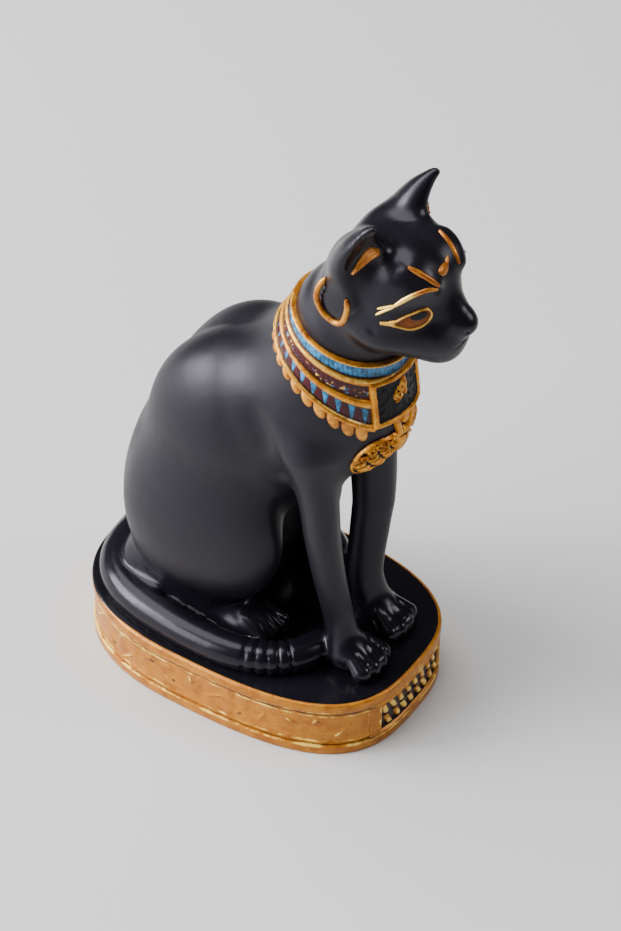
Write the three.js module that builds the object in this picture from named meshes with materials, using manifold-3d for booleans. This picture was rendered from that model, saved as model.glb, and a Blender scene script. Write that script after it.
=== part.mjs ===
// A seated cat figure cast in one piece with its plinth.
// Millimetres, Z up, the cat looks towards -Y, the origin is the middle of the plinth's underside.
import * as THREE from "three";
import Module from "manifold-3d";

// Plinth: a rounded outline, blunter in front than behind, with two lips and a sunk band between them
const PLINTH_WIDTH = 58.8;
const PLINTH_LENGTH = 86.6;
const PLINTH_HEIGHT = 16;
const PLINTH_WIDEST_Y = 6.2;
const PLINTH_FRONT_POWER = 3.0;
const PLINTH_BACK_POWER = 2.3;
const PLINTH_EDGE_ROUND = 0.7;
const PLINTH_LIP_HEIGHT = 2.3;
const PLINTH_BAND_DEPTH = 0.6;
const PLINTH_SIDES = 60;

// Body: heights are counted from the plinth's top, and the left half is the mirror image of the right
const SEAT_CENTRE = [0, 15.1, 26];
const SEAT_RADII = [19.5, 20.8, 29];
const BACK_CENTRE = [0, 4.3, 52.3];
const BACK_RADII = [18, 21.5, 30];
const BACK_LEAN = 0.55;
const SHOULDER_CENTRE = [8.3, 5.9, 62];
const SHOULDER_RADII = [9.5, 14.2, 18];
const SHOULDER_LEAN = 0.6;
const CHEST_CENTRE = [0, -18.6, 71];
const CHEST_RADII = [14.8, 17.5, 19];
const CHEST_LEAN = 0.1;
const THIGH_CENTRE = [12.7, 7, 29];
const THIGH_RADII = [9, 19.9, 23.4];
const THIGH_LEAN = 0.12;
const HOCK_BACK = [9.8, 25, 6];
const HOCK_FRONT = [10.6, 6, 5];
const HOCK_BACK_RADIUS = 7.6;
const HOCK_FRONT_RADIUS = 7;
const NAPE_CENTRE = [4, -25.6, 107];
const NAPE_RADII = [8.5, 7, 9];
const NECK_LOW = [0, -16, 73];
const NECK_LOW_RADIUS = 16;
const NECK_TOP = [0, -23.6, 96];
const NECK_TOP_RADIUS = 13;

// Forelegs: centre line points from the shoulder down, and the radius at each
const FORELEG_POINTS = [
  [10.8, -19.5, 64], [11.1, -22.2, 51], [10.8, -23.4, 39], [9.3, -24.3, 27],
  [7.2, -25.7, 14], [7.2, -28, 5],
];
const FORELEG_RADII = [7, 4.8, 4.2, 3.8, 3.6, 4.2];
const FORELEG_SPREAD = 1.25;
const FOREPAW_CENTRE = [7.3, -31.5, 3.6];
const FOREPAW_RADII = [5.7, 8, 4.6];
const RIGHT_HINDPAW_CENTRE = [-11.4, -3, 2.2];
const RIGHT_HINDPAW_RADII = [6.6, 10.4, 5.2];
const LEFT_HINDPAW_CENTRE = [17.8, -4, 4];
const LEFT_HINDPAW_RADII = [5, 9, 8.4];

// Head and muzzle
const SKULL_CENTRE = [0, -34, 110];
const SKULL_RADII = [12.4, 12.8, 12.8];
const EAR_BASE_CENTRE = [6.5, -27.8, 116.8];
const EAR_BASE_RADII = [5.5, 5, 5];
const CHEEK_CENTRE = [0, -35, 102.5];
const CHEEK_RADII = [13, 11, 7];
const BROW_CENTRE = [0, -40.1, 116.5];
const BROW_RADII = [9.8, 7.6, 6.6];
const MUZZLE_CENTRE = [0, -43.5, 101.4];
const MUZZLE_RADII = [7.2, 7.7, 6.3];
const MUZZLE_LEAN = -0.1;
const BRIDGE_TOP = [0, -42.1, 114];
const BRIDGE_TOP_RADIUS = 4;
const BRIDGE_END = [0, -48.8, 106.9];
const BRIDGE_END_RADIUS = 3;
const CHIN_CENTRE = [0, -44.8, 97.6];
const CHIN_RADII = [4, 4.4, 3.6];
const NOSE_CENTRE = [0, -50.4, 105.9];
const NOSE_RADII = [2.7, 3, 2.6];

// Ears: oval rings about a line from the head to the tip, hollowed from the front.
// The long axis of a ring runs from the outer rear corner to the inner front corner of the ear.
const EAR_REAR_CORNER = [13.7, -28.9, 113.9];
const EAR_FRONT_CORNER = [7, -36.6, 121.6];
const EAR_TIP = [13.3, -35.4, 131.2];
const EAR_LEVELS = [-0.35, 0, 0.35, 0.7, 0.9, 1];
const EAR_LONG_RADII = [6.4, 7.2, 6.4, 4.4, 2.5, 0.7];
const EAR_SHORT_RADII = [6.4, 5.6, 4.3, 3, 2, 0.7];
const EAR_SET_BACK = [1.6, 2.4, 2.9, 1.9, 0.8, 0.1];
const EAR_SET_OUT = [0, 0.6, 2, 2.2, 1.1, 0.2];
const EAR_HOLLOW_SHIFT = 1.05;
const EAR_HOLLOW_SHARE = 0.8;
const EAR_HOLLOW_LIFT = 0.07;
const EAR_SIDES = 14;

// Collar: a raised band between two sloping planes, z = height + slope * y
const COLLAR_TOP = [103.4, 0.384];
const COLLAR_BOTTOM = [96.9, 0.826];
const COLLAR_THICKNESS = 1.2;
const COLLAR_ROOT = 1.5;
const COLLAR_MIDDLE_Y = -20;
const COLLAR_SIDES = 44;

// Tail: centre line points from the rump round the cat's right side to the forepaw
const TAIL_POINTS = [
  [3, 36.3, 3], [-7.5, 35.4, 3], [-14.3, 32.3, 3], [-18.8, 27, 3],
  [-21.3, 20, 3], [-22.6, 12, 3], [-23.2, 4, 3], [-22.8, -6, 3],
  [-20.3, -14.3, 3], [-15.6, -20, 3], [-9.5, -23, 3],
];
const TAIL_ROOT_RADIUS = 4.6;
const TAIL_TIP_RADIUS = 4;
const TAIL_RINGS = 22;
const TAIL_GROOVES = [0.775, 0.804, 0.833, 0.863, 0.894];
const TAIL_GROOVE_DEPTH = 0.13;
const TAIL_GROOVE_HALF_WIDTH = 0.006;
const TAIL_SIDES = 12;

// How far the body goes down into the plinth
const FOOT_SINK = 2;

// Sampling grid: cell sizes in the body, the head and the feet, and the box round the whole cat
const CELL_X = 2.9;
const CELL_Y = 3.8;
const CELL_Z = 4.5;
const FINE_CELL = 2.25;
const HEAD_BOTTOM_Z = 91;
const HEAD_BACK_Y = -17;
const FEET_TOP_Z = 14;
const FOOT_CELL = 2.55;
const GRID_LOW = [-31.5, -57, -5.3];
const GRID_HIGH = [31.5, 46, 135];

function ellipsoid(x, y, z, centre, radii, lean) {
  const cosine = Math.cos(lean);
  const sine = Math.sin(lean);
  const a = x - centre[0];
  const b = cosine * (y - centre[1]) + sine * (z - centre[2]);
  const c = -sine * (y - centre[1]) + cosine * (z - centre[2]);
  const near = Math.hypot(a / radii[0], b / radii[1], c / radii[2]);
  const slope = Math.hypot(a / radii[0] ** 2, b / radii[1] ** 2, c / radii[2] ** 2);
  return slope < 1e-9 ? -Math.min(...radii) : (near * (near - 1)) / slope;
}

function limb(x, y, z, from, to, startRadius, endRadius, spread = 1) {
  const ab = [to[0] - from[0], to[1] - from[1], to[2] - from[2]];
  const ap = [x - from[0], y - from[1], z - from[2]];
  const along = ap[0] * ab[0] + ap[1] * ab[1] + ap[2] * ab[2];
  const t = Math.max(0, Math.min(1, along / (ab[0] ** 2 + ab[1] ** 2 + ab[2] ** 2)));
  const q = [ap[0] - t * ab[0], ap[1] - t * ab[1], ap[2] - t * ab[2]];
  const outward = (q[0] - q[1]) * 0.5 * (1 - 1 / spread);
  return Math.hypot(q[0] - outward, q[1] + outward, q[2]) - (startRadius + (endRadius - startRadius) * t);
}

function blend(a, b, width) {
  const overlap = Math.max(width - Math.abs(a - b), 0) / width;
  return Math.min(a, b) - (overlap * overlap * width) / 4;
}

function chain(x, y, z, points, radii, spread) {
  let d = Infinity;
  for (let i = 1; i < points.length; i++) {
    d = Math.min(d, limb(x, y, z, points[i - 1], points[i], radii[i - 1], radii[i], spread));
  }
  return d;
}

function torso(x, y, z) {
  let d = ellipsoid(x, y, z, SEAT_CENTRE, SEAT_RADII, 0);
  d = blend(d, ellipsoid(x, y, z, BACK_CENTRE, BACK_RADII, BACK_LEAN), 8);
  d = blend(d, ellipsoid(x, y, z, SHOULDER_CENTRE, SHOULDER_RADII, SHOULDER_LEAN), 10);
  d = blend(d, ellipsoid(x, y, z, CHEST_CENTRE, CHEST_RADII, CHEST_LEAN), 10);
  d = blend(d, limb(x, y, z, NECK_LOW, NECK_TOP, NECK_LOW_RADIUS, NECK_TOP_RADIUS), 8);
  d = blend(d, ellipsoid(x, y, z, THIGH_CENTRE, THIGH_RADII, THIGH_LEAN), 6);
  d = blend(d, limb(x, y, z, HOCK_BACK, HOCK_FRONT, HOCK_BACK_RADIUS, HOCK_FRONT_RADIUS), 4);
  d = blend(d, chain(x, y, z, FORELEG_POINTS, FORELEG_RADII, FORELEG_SPREAD), 5);
  return blend(d, ellipsoid(x, y, z, FOREPAW_CENTRE, FOREPAW_RADII, 0), 3);
}

function head(x, y, z) {
  let d = ellipsoid(x, y, z, SKULL_CENTRE, SKULL_RADII, 0);
  d = blend(d, ellipsoid(x, y, z, NAPE_CENTRE, NAPE_RADII, 0), 6);
  d = blend(d, ellipsoid(x, y, z, EAR_BASE_CENTRE, EAR_BASE_RADII, 0), 5);
  d = blend(d, ellipsoid(x, y, z, CHEEK_CENTRE, CHEEK_RADII, 0), 5);
  d = blend(d, ellipsoid(x, y, z, BROW_CENTRE, BROW_RADII, 0), 4);
  d = blend(d, ellipsoid(x, y, z, MUZZLE_CENTRE, MUZZLE_RADII, MUZZLE_LEAN), 5);
  d = blend(d, limb(x, y, z, BRIDGE_TOP, BRIDGE_END, BRIDGE_TOP_RADIUS, BRIDGE_END_RADIUS), 4);
  d = blend(d, ellipsoid(x, y, z, CHIN_CENTRE, CHIN_RADII, 0), 3);
  return blend(d, ellipsoid(x, y, z, NOSE_CENTRE, NOSE_RADII, 0), 2);
}

function cat(x, y, z) {
  const side = Math.abs(x);
  let d = blend(torso(side, y, z), head(side, y, z), 3);
  d = blend(d, ellipsoid(x, y, z, RIGHT_HINDPAW_CENTRE, RIGHT_HINDPAW_RADII, 0), 4);
  d = blend(d, ellipsoid(x, y, z, LEFT_HINDPAW_CENTRE, LEFT_HINDPAW_RADII, 0), 4);
  return Math.max(d, -FOOT_SINK - z);
}

function gradient(field, x, y, z, reach) {
  const gx = field(x + reach, y, z) - field(x - reach, y, z);
  const gy = field(x, y + reach, z) - field(x, y - reach, z);
  const gz = field(x, y, z + reach) - field(x, y, z - reach);
  const length = Math.hypot(gx, gy, gz) || 1;
  return [gx / length, gy / length, gz / length];
}

function gridLine(from, to, step) {
  const line = [from];
  while (line[line.length - 1] < to) {
    line.push(line[line.length - 1] + step(line[line.length - 1]));
  }
  return line;
}

// One vertex in each cell that the surface crosses, one quad across each grid edge that it crosses
function meshOfField(field, xs, ys, zs) {
  const [nx, ny, nz] = [xs.length, ys.length, zs.length];
  const at = (i, j, k) => (k * ny + j) * nx + i;
  const value = new Float32Array(nx * ny * nz);
  for (let k = 0; k < nz; k++) {
    for (let j = 0; j < ny; j++) {
      for (let i = 0; i < nx; i++) {
        value[at(i, j, k)] = field(xs[i], ys[j], zs[k]);
      }
    }
  }
  while (fillCrossedCorners(value, [1, nx, nx * ny])) {}
  const lines = [xs, ys, zs];
  const vertexOfCell = new Int32Array(nx * ny * nz).fill(-1);
  const points = [];
  for (let k = 0; k < nz - 1; k++) {
    for (let j = 0; j < ny - 1; j++) {
      for (let i = 0; i < nx - 1; i++) {
        const point = cellPoint(value, at, lines, [i, j, k]);
        if (!point) continue;
        vertexOfCell[at(i, j, k)] = points.length;
        points.push(pulledOnto(field, point));
      }
    }
  }
  const triangles = [];
  const steps = [[1, 0, 0], [0, 1, 0], [0, 0, 1]];
  for (let k = 1; k < nz - 1; k++) {
    for (let j = 1; j < ny - 1; j++) {
      for (let i = 1; i < nx - 1; i++) {
        for (let axis = 0; axis < 3; axis++) {
          const step = steps[axis];
          const here = value[at(i, j, k)] < 0;
          if (here === value[at(i + step[0], j + step[1], k + step[2])] < 0) continue;
          const u = steps[(axis + 1) % 3];
          const v = steps[(axis + 2) % 3];
          const corner = (a, b) => {
            const [di, dj, dk] = u.map((value, n) => a * value + b * v[n]);
            return vertexOfCell[at(i - di, j - dj, k - dk)];
          };
          addQuad(triangles, points, [corner(1, 1), corner(0, 1), corner(0, 0), corner(1, 0)], here);
        }
      }
    }
  }
  return { points, triangles };
}

// Where two solid corners meet only across a diagonal, the nearer empty corner is made solid
function fillCrossedCorners(value, strides) {
  let filled = 0;
  for (let axis = 0; axis < 3; axis++) {
    const u = strides[(axis + 1) % 3];
    const v = strides[(axis + 2) % 3];
    for (let n = 0; n + u + v < value.length; n++) {
      const [a, b, c, d] = [value[n], value[n + u], value[n + u + v], value[n + v]];
      if (a < 0 !== c < 0 || b < 0 !== d < 0 || a < 0 === b < 0) continue;
      const pair = a < 0 ? [n + u, n + v] : [n, n + u + v];
      const chosen = value[pair[0]] < value[pair[1]] ? pair[0] : pair[1];
      value[chosen] = -0.01;
      filled++;
    }
  }
  return filled;
}

function cellPoint(value, at, lines, cell) {
  const sum = [0, 0, 0];
  let crossings = 0;
  for (let axis = 0; axis < 3; axis++) {
    for (let side = 0; side < 4; side++) {
      const start = [0, 0, 0];
      start[(axis + 1) % 3] = side & 1;
      start[(axis + 2) % 3] = side >> 1;
      const from = start.map((offset, n) => cell[n] + offset);
      const to = from.map((index, n) => index + (n === axis ? 1 : 0));
      const a = value[at(...from)];
      const b = value[at(...to)];
      if (a < 0 === b < 0) continue;
      const t = a / (a - b);
      for (let n = 0; n < 3; n++) {
        sum[n] += lines[n][from[n]] + t * (lines[n][to[n]] - lines[n][from[n]]);
      }
      crossings++;
    }
  }
  return crossings ? sum.map((total) => total / crossings) : null;
}

function pulledOnto(field, point) {
  let [x, y, z] = point;
  for (let pass = 0; pass < 2; pass++) {
    const distance = Math.max(-0.7, Math.min(0.7, field(x, y, z)));
    const normal = gradient(field, x, y, z, 0.3);
    x -= normal[0] * distance;
    y -= normal[1] * distance;
    z -= normal[2] * distance;
  }
  return [x, y, z];
}

function addQuad(triangles, points, corners, outward) {
  const loop = outward ? corners : corners.slice().reverse();
  const [a, b, c, d] = loop;
  const gap = (p, q) => Math.hypot(...points[p].map((value, n) => value - points[q][n]));
  if (gap(a, c) < gap(b, d)) triangles.push([a, b, c], [a, c, d]);
  else triangles.push([a, b, d], [b, c, d]);
}

// Rings of points joined into a closed body, with flat ends
function bodyOfRings(rings, closedLoop) {
  const sides = rings[0].length;
  const points = rings.flat();
  const triangles = [];
  const count = closedLoop ? rings.length : rings.length - 1;
  for (let r = 0; r < count; r++) {
    const low = r * sides;
    const high = ((r + 1) % rings.length) * sides;
    for (let i = 0; i < sides; i++) {
      const next = (i + 1) % sides;
      triangles.push([low + i, low + next, high + next], [low + i, high + next, high + i]);
    }
  }
  if (!closedLoop) {
    const top = (rings.length - 1) * sides;
    for (let i = 1; i < sides - 1; i++) {
      triangles.push([0, i + 1, i], [top, top + i, top + i + 1]);
    }
  }
  return { points, triangles };
}

function plinthRing(inset, z) {
  const ring = [];
  for (let i = 0; i < PLINTH_SIDES; i++) {
    const angle = (2 * Math.PI * (i + 0.5)) / PLINTH_SIDES;
    const across = Math.cos(angle);
    const along = Math.sin(angle);
    const power = along < 0 ? PLINTH_FRONT_POWER : PLINTH_BACK_POWER;
    const reach = PLINTH_LENGTH / 2 - Math.sign(along) * PLINTH_WIDEST_Y - inset;
    const x = (PLINTH_WIDTH / 2 - inset) * Math.sign(across) * Math.abs(across) ** (2 / power);
    const y = PLINTH_WIDEST_Y + reach * Math.sign(along) * Math.abs(along) ** (2 / power);
    ring.push([x, y, z]);
  }
  return ring;
}

function plinth() {
  const lip = PLINTH_LIP_HEIGHT;
  const slant = PLINTH_BAND_DEPTH;
  return bodyOfRings([
    plinthRing(PLINTH_EDGE_ROUND / 2, 0),
    plinthRing(0, PLINTH_EDGE_ROUND / 2),
    plinthRing(0, lip),
    plinthRing(PLINTH_BAND_DEPTH, lip + slant),
    plinthRing(PLINTH_BAND_DEPTH, PLINTH_HEIGHT - lip - slant),
    plinthRing(0, PLINTH_HEIGHT - lip),
    plinthRing(0, PLINTH_HEIGHT - PLINTH_EDGE_ROUND),
    plinthRing(PLINTH_EDGE_ROUND, PLINTH_HEIGHT),
  ], false);
}

// The collar follows the neck: each point is found outward from the neck's middle line
function collarPoint(angle, share, lift) {
  const field = (x, y, z) => torso(Math.abs(x), y, z);
  const place = (radius) => {
    const x = radius * Math.cos(angle);
    const y = COLLAR_MIDDLE_Y + radius * Math.sin(angle);
    const top = COLLAR_TOP[0] + COLLAR_TOP[1] * y;
    const bottom = COLLAR_BOTTOM[0] + COLLAR_BOTTOM[1] * y;
    return [x, y, top + (bottom - top) * share];
  };
  let near = 2;
  let far = 28;
  for (let pass = 0; pass < 24; pass++) {
    const middle = (near + far) / 2;
    if (field(...place(middle)) < 0) near = middle;
    else far = middle;
  }
  const point = place(near);
  const normal = gradient(field, ...point, 0.4);
  return point.map((value, i) => value + lift * normal[i]);
}

function collar() {
  const rings = [];
  const outer = [1, 0.65, 0.3, 0];
  const inner = [0, 0.5, 1];
  const ring = (share, lift) => Array.from({ length: COLLAR_SIDES }, (_, i) =>
    collarPoint((2 * Math.PI * i) / COLLAR_SIDES, share, lift));
  for (const share of outer) rings.push(ring(share, COLLAR_THICKNESS));
  for (const share of inner) rings.push(ring(share, -COLLAR_ROOT));
  return bodyOfRings(rings, true);
}

function earBody(forward, share, lift) {
  const front = new THREE.Vector3(...EAR_FRONT_CORNER);
  const rear = new THREE.Vector3(...EAR_REAR_CORNER);
  const root = front.clone().add(rear).multiplyScalar(0.5);
  const rise = new THREE.Vector3(...EAR_TIP).sub(root);
  const long = front.clone().sub(rear).normalize();
  const back = long.clone().cross(rise).normalize();
  const rings = EAR_LEVELS.map((level, n) => Array.from({ length: EAR_SIDES }, (_, i) => {
    const angle = (-2 * Math.PI * i) / EAR_SIDES;
    const point = root.clone().addScaledVector(rise, level + lift);
    point.addScaledVector(long, EAR_LONG_RADII[n] * share * Math.cos(angle) - EAR_SET_OUT[n]);
    point.addScaledVector(back, EAR_SET_BACK[n] + EAR_SHORT_RADII[n] * (share * Math.sin(angle) - forward));
    return point.toArray();
  }));
  return bodyOfRings(rings, false);
}

function mirrored(shape) {
  return {
    points: shape.points.map(([x, y, z]) => [-x, y, z]),
    triangles: shape.triangles.map(([a, b, c]) => [a, c, b]),
  };
}

function ear(place) {
  const shell = solid(place(earBody(0, 1, 0)));
  return shell.subtract(solid(place(earBody(EAR_HOLLOW_SHIFT, EAR_HOLLOW_SHARE, EAR_HOLLOW_LIFT))));
}

// The tail: level rings across a smooth curve, rounded at both ends
function tail() {
  const curve = new THREE.CatmullRomCurve3(TAIL_POINTS.map((point) => new THREE.Vector3(...point)));
  const nearGroove = (share) => TAIL_GROOVES.some((groove) => Math.abs(groove - share) < 0.02);
  const evenly = Array.from({ length: TAIL_RINGS + 1 }, (_, i) => i / TAIL_RINGS);
  const stations = evenly.filter((share) => !nearGroove(share)).map((share) => [share, 1]);
  for (const groove of TAIL_GROOVES) {
    stations.push([groove - TAIL_GROOVE_HALF_WIDTH, 1]);
    stations.push([groove, 1 - TAIL_GROOVE_DEPTH]);
    stations.push([groove + TAIL_GROOVE_HALF_WIDTH, 1]);
  }
  stations.sort((a, b) => a[0] - b[0]);
  const ring = (share, size, slide) => {
    const centre = curve.getPointAt(share);
    const tangent = curve.getTangentAt(share);
    const radius = TAIL_ROOT_RADIUS + (TAIL_TIP_RADIUS - TAIL_ROOT_RADIUS) * share;
    return Array.from({ length: TAIL_SIDES }, (_, i) => {
      const angle = (2 * Math.PI * i) / TAIL_SIDES;
      const across = radius * size * Math.cos(angle);
      const x = centre.x + tangent.x * slide * radius - tangent.y * across;
      const y = centre.y + tangent.y * slide * radius + tangent.x * across;
      return [x, y, centre.z + radius * size * Math.sin(angle)];
    });
  };
  const caps = [[0.45, 0.9], [0.8, 0.6]];
  return bodyOfRings([
    ...caps.map(([size, slide]) => ring(0, size, -slide)),
    ...stations.map(([share, size]) => ring(share, size, 0)),
    ...caps.reverse().map(([size, slide]) => ring(1, size, slide)),
  ], false);
}

const wasm = await Module();
wasm.setup();

function solid(shape) {
  const mesh = new wasm.Mesh({
    numProp: 3,
    vertProperties: new Float32Array(shape.points.flat()),
    triVerts: new Uint32Array(shape.triangles.flat()),
  });
  return new wasm.Manifold(mesh);
}

const cellY = (y) => (y < HEAD_BACK_Y ? FINE_CELL : CELL_Y);
const cellZ = (z) => {
  if (z > HEAD_BOTTOM_Z) return FINE_CELL;
  return z < FEET_TOP_Z ? FOOT_CELL : CELL_Z;
};
const xs = gridLine(GRID_LOW[0], GRID_HIGH[0], () => CELL_X);
const ys = gridLine(GRID_LOW[1], GRID_HIGH[1], cellY);
const zs = gridLine(GRID_LOW[2], GRID_HIGH[2], cellZ);
const parts = [ear((shape) => shape), ear(mirrored), solid(tail()), solid(collar())];
const alone = parts.reduce((whole, piece) => whole.add(piece), solid(meshOfField(cat, xs, ys, zs)));
const cast = alone.translate([0, 0, PLINTH_HEIGHT]).add(solid(plinth()));

const result = cast.getMesh();
const geometry = new THREE.BufferGeometry();
geometry.setAttribute("position", new THREE.BufferAttribute(new Float32Array(result.vertProperties), 3));
geometry.setIndex(new THREE.BufferAttribute(new Uint32Array(result.triVerts), 1));
geometry.computeVertexNormals();
const resin = new THREE.MeshStandardMaterial({ color: 0x1c1c20, roughness: 0.4, metalness: 0 });
resin.name = "painted_resin";
const figure = new THREE.Mesh(geometry, resin);
figure.name = "bastet_cat_figure";

const group = new THREE.Group();
group.name = "bastet_cat";
group.add(figure);
export default group;
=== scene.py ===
"""A painted resin cat seated on its plinth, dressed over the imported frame.

Lengths in the tables are millimetres in the figure's own frame: the cat looks towards -Y,
its right side is -X, and heights are counted from the plinth's top.
"""

import math

import bmesh
import bpy
import numpy as np
from mathutils import Matrix, Vector


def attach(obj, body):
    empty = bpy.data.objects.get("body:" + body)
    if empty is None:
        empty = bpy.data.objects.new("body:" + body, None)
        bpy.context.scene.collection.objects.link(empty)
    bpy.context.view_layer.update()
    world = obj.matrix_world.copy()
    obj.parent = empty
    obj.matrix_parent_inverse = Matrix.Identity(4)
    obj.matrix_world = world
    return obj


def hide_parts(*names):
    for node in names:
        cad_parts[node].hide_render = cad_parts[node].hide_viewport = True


bl_info = {
    "name": "Seated cat figure",
    "version": (1, 0, 0),
    "blender": (4, 5, 0),
    "location": "View3D > Sidebar > Cat figure",
    "description": "Builds the painted surface of a seated cat figure over its packed solid",
    "category": "Object",
}

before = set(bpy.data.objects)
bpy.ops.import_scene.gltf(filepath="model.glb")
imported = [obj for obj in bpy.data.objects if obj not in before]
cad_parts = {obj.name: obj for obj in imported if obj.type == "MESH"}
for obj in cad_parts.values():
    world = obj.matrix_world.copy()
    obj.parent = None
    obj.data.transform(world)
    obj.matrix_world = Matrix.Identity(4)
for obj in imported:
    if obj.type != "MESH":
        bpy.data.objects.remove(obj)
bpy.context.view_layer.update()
NODE = "bastet_cat_figure"
BODY = "root"

# Masses of the body: centre, radii, lean
SEAT = ((0, 15.1, 26), (19.5, 20.8, 29), 0.0)
BACK = ((0, 4.3, 52.3), (18, 21.5, 30), 0.55)
SHOULDER = ((8.3, 5.9, 62), (9.5, 14.2, 18), 0.6)
CHEST = ((0, -18.6, 71), (14.8, 17.5, 19), 0.1)
THIGH = ((12.6, 7, 29.6), (9, 19.9, 23.0), 0.12)
FOREPAW = ((7.3, -29.8, 3.3), (5.3, 6.0, 4.2), 0.0)
RIGHT_HINDPAW = ((-11.8, -2.6, 2.4), (6.6, 10.6, 5.7), 0.0)
LEFT_HINDPAW = ((17.8, -4, 4), (5, 9, 8.4), 0.0)
NECK = ((0, -16, 73), (0, -23.6, 96), 16, 13)
HOCK = ((9.8, 25, 6), (10.6, 6, 5), 7.6, 7.0)
FORELEG = (
    (10.8, -19.5, 64), (11.1, -22.2, 51), (10.8, -23.4, 39), (9.3, -24.3, 27), (7.2, -25.7, 14),
    (7.2, -28, 5),
)
FORELEG_RADII = (7, 4.8, 4.2, 3.8, 3.6, 4.2)
FORELEG_SPREAD = 1.25

# Masses of the head
SKULL = ((0, -34, 110), (12.4, 12.8, 12.8), 0.0)
NAPE = ((4, -25.6, 107), (8.5, 7, 9), 0.0)
EAR_BASE = ((6.5, -27.8, 116.8), (5.5, 5, 5), 0.0)
CHEEK = ((0, -35, 102.5), (13, 11, 7), 0.0)
BROW = ((4.3, -39.1, 116.4), (5.6, 6.9, 5.8), 0.0)
MUZZLE = ((0, -43.5, 101.4), (7.2, 7.7, 6.3), -0.1)
BRIDGE = ((0, -42.1, 114.0), (0, -48.8, 106.9), 4.0, 3.0)
NOSE = ((0, -50.4, 105.9), (2.7, 3.0, 2.6), 0.0)
CHIN = ((0, -44.8, 97.6), (4.0, 4.4, 3.6), 0.0)

# Toes: middle of the paw, spacing, root and tip as reach from there and height, and radii at both
FORE_TOES = ((7.3, -31.5), 2.75, ((0.4, 5.8), (-4.9, 2.6)), (1.6, 2.5))
RIGHT_HIND_TOES = ((-11.6, -3.2), 2.75, ((-2.0, 5.8), (-7.8, 2.4)), (1.6, 2.35))
LEFT_HIND_TOES = ((17.4, -3.6), 2.3, ((-3.5, 6.0), (-7.6, 1.9)), (1.5, 1.8))
# Places of the toes across a paw, in spacings, and of the balls that lead the remesh along each toe
TOE_PLACES = (-1.5, -0.5, 0.5, 1.5)
TOE_BALLS = (0.5, 0.8, 1.0)
# Grooves between the toes: depth, half-width, reach past the toes' ends, and where they fade in
TOE_GROOVE = (0.6, 0.45, 3.0, 0.25, 0.7)
# How far the left foreleg stands back
LEFT_FORELEG_BACK = 1.9
# Height at which the cat is cut off above the plinth, and how deep its edge is carried into it
FOOT_HEIGHT = 0.4
FOOT_DEPTH = 1.4

# Forms of the face under the paint: lines and points by distance from the middle, y and height
BROW_LINE = ((8.0, -41.2, 121.6), (7.4, -43.8, 120.6), (6.3, -45.9, 119.0), (5.1, -47.1, 117.2))
LID_LINE = (
    (12.1, -36.6, 110.2), (11.1, -40.1, 112.8), (10.0, -42.9, 115.4), (7.9, -45.5, 116.8),
    (5.6, -47.1, 116.5),
)
EYE_MIDDLE = (8.3, -43.5, 109.0)
EYE_ALONG = (-0.607, -0.78, 0.154)
EYE_REACH = (4.6, 2.1)
MOUTH_LINE = ((0, -50.9, 102.2), (2.6, -49.8, 100.9), (5.0, -47.4, 100.6), (7.0, -44.6, 101.4))
NOSTRIL = (1.7, -52.2, 105.2)
CHEEK_DIMPLE = (12.7, -35.7, 105.4)
# Lines with their height, sunk where negative, and half-width; points with their depth and half-width
FACE_LINE_RELIEF = ((BROW_LINE, 0.5, 1.9), (LID_LINE, 0.35, 1.5), (MOUTH_LINE, -0.55, 0.5))
FACE_PITS = ((NOSTRIL, 0.5, 0.6), (CHEEK_DIMPLE, 0.4, 0.8))
# Eye under the paint: height of the ball, and depth and reach of its socket
EYE_BALL = 0.8
EYE_SOCKET = (0.7, 7.5, 4.6)

# Painted lines of the face: points from the outer end, width, share of pale gold, which is painted
# highlight at the outer end
FACE_LINES = (
    (((-8.4, -41.0, 121.7), (-7.7, -43.8, 120.6), (-6.5, -45.9, 119.0), (-5.2, -47.1, 117.1)), 1.3, 0.0),
    (((4.9, -40.4, 122.6), (4.2, -43.2, 121.6), (3.6, -45.5, 119.8), (3.0, -47.0, 117.6)), 1.2, 0.0),
    (((-11.3, -39.7, 112.4), (-10.0, -42.9, 115.4), (-7.9, -45.5, 116.8), (-5.6, -47.1, 116.6)), 1.2, 1.0),
    (((11.3, -39.7, 112.4), (10.6, -41.8, 114.3), (9.6, -43.6, 115.7), (8.2, -45.2, 116.7)), 1.2, 1.0),
    (((-12.1, -36.3, 109.7), (-11.9, -38.0, 111.0), (-11.2, -39.9, 112.4)), 0.65, 1.0),
    (((-12.0, -36.5, 111.1), (-11.6, -38.2, 111.9), (-11.0, -40.1, 112.9)), 0.65, 1.0),
    (((12.1, -36.3, 109.7), (11.9, -38.0, 111.0), (11.2, -39.9, 112.4)), 0.65, 1.0),
    (((12.0, -36.5, 111.1), (11.6, -38.2, 111.9), (11.0, -40.1, 112.9)), 0.65, 1.0),
)
FOREHEAD_MARK = (-0.9, -45.7, 119.4)
EAR_MARK = ((-12.9, -30.6, 117.8), (-11.1, -32.8, 125.6), (-8.7, -35.8, 122.5))

# Eye on the right side: middle, directions along and up, sheet, outline and pupil in that plane
EYE_CENTRE = np.array([-8.3, -43.3, 108.9])
EYE_AXIS = np.array([0.607, -0.78, 0.154])
EYE_UP = np.array([0.0, 0.2, 1.0])
EYE_SHEET = (12.2, 5.4)
EYE_SHIFT = 1.65
EYE_OUTLINE = (
    (-7.3, 0.2), (-5.5, 0.25), (-3.8, 0.6), (-2.4, 1.25), (-0.8, 1.8), (1.5, 2.35), (3.2, 1.95),
    (4.0, 0.6), (3.4, -1.0), (1.2, -2.25), (-1.3, -2.4), (-3.6, -1.3), (-5.3, -0.6), (-7.2, -0.25),
)
PUPIL = (0.9, 0.75, 2.1, 1.05)

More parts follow.
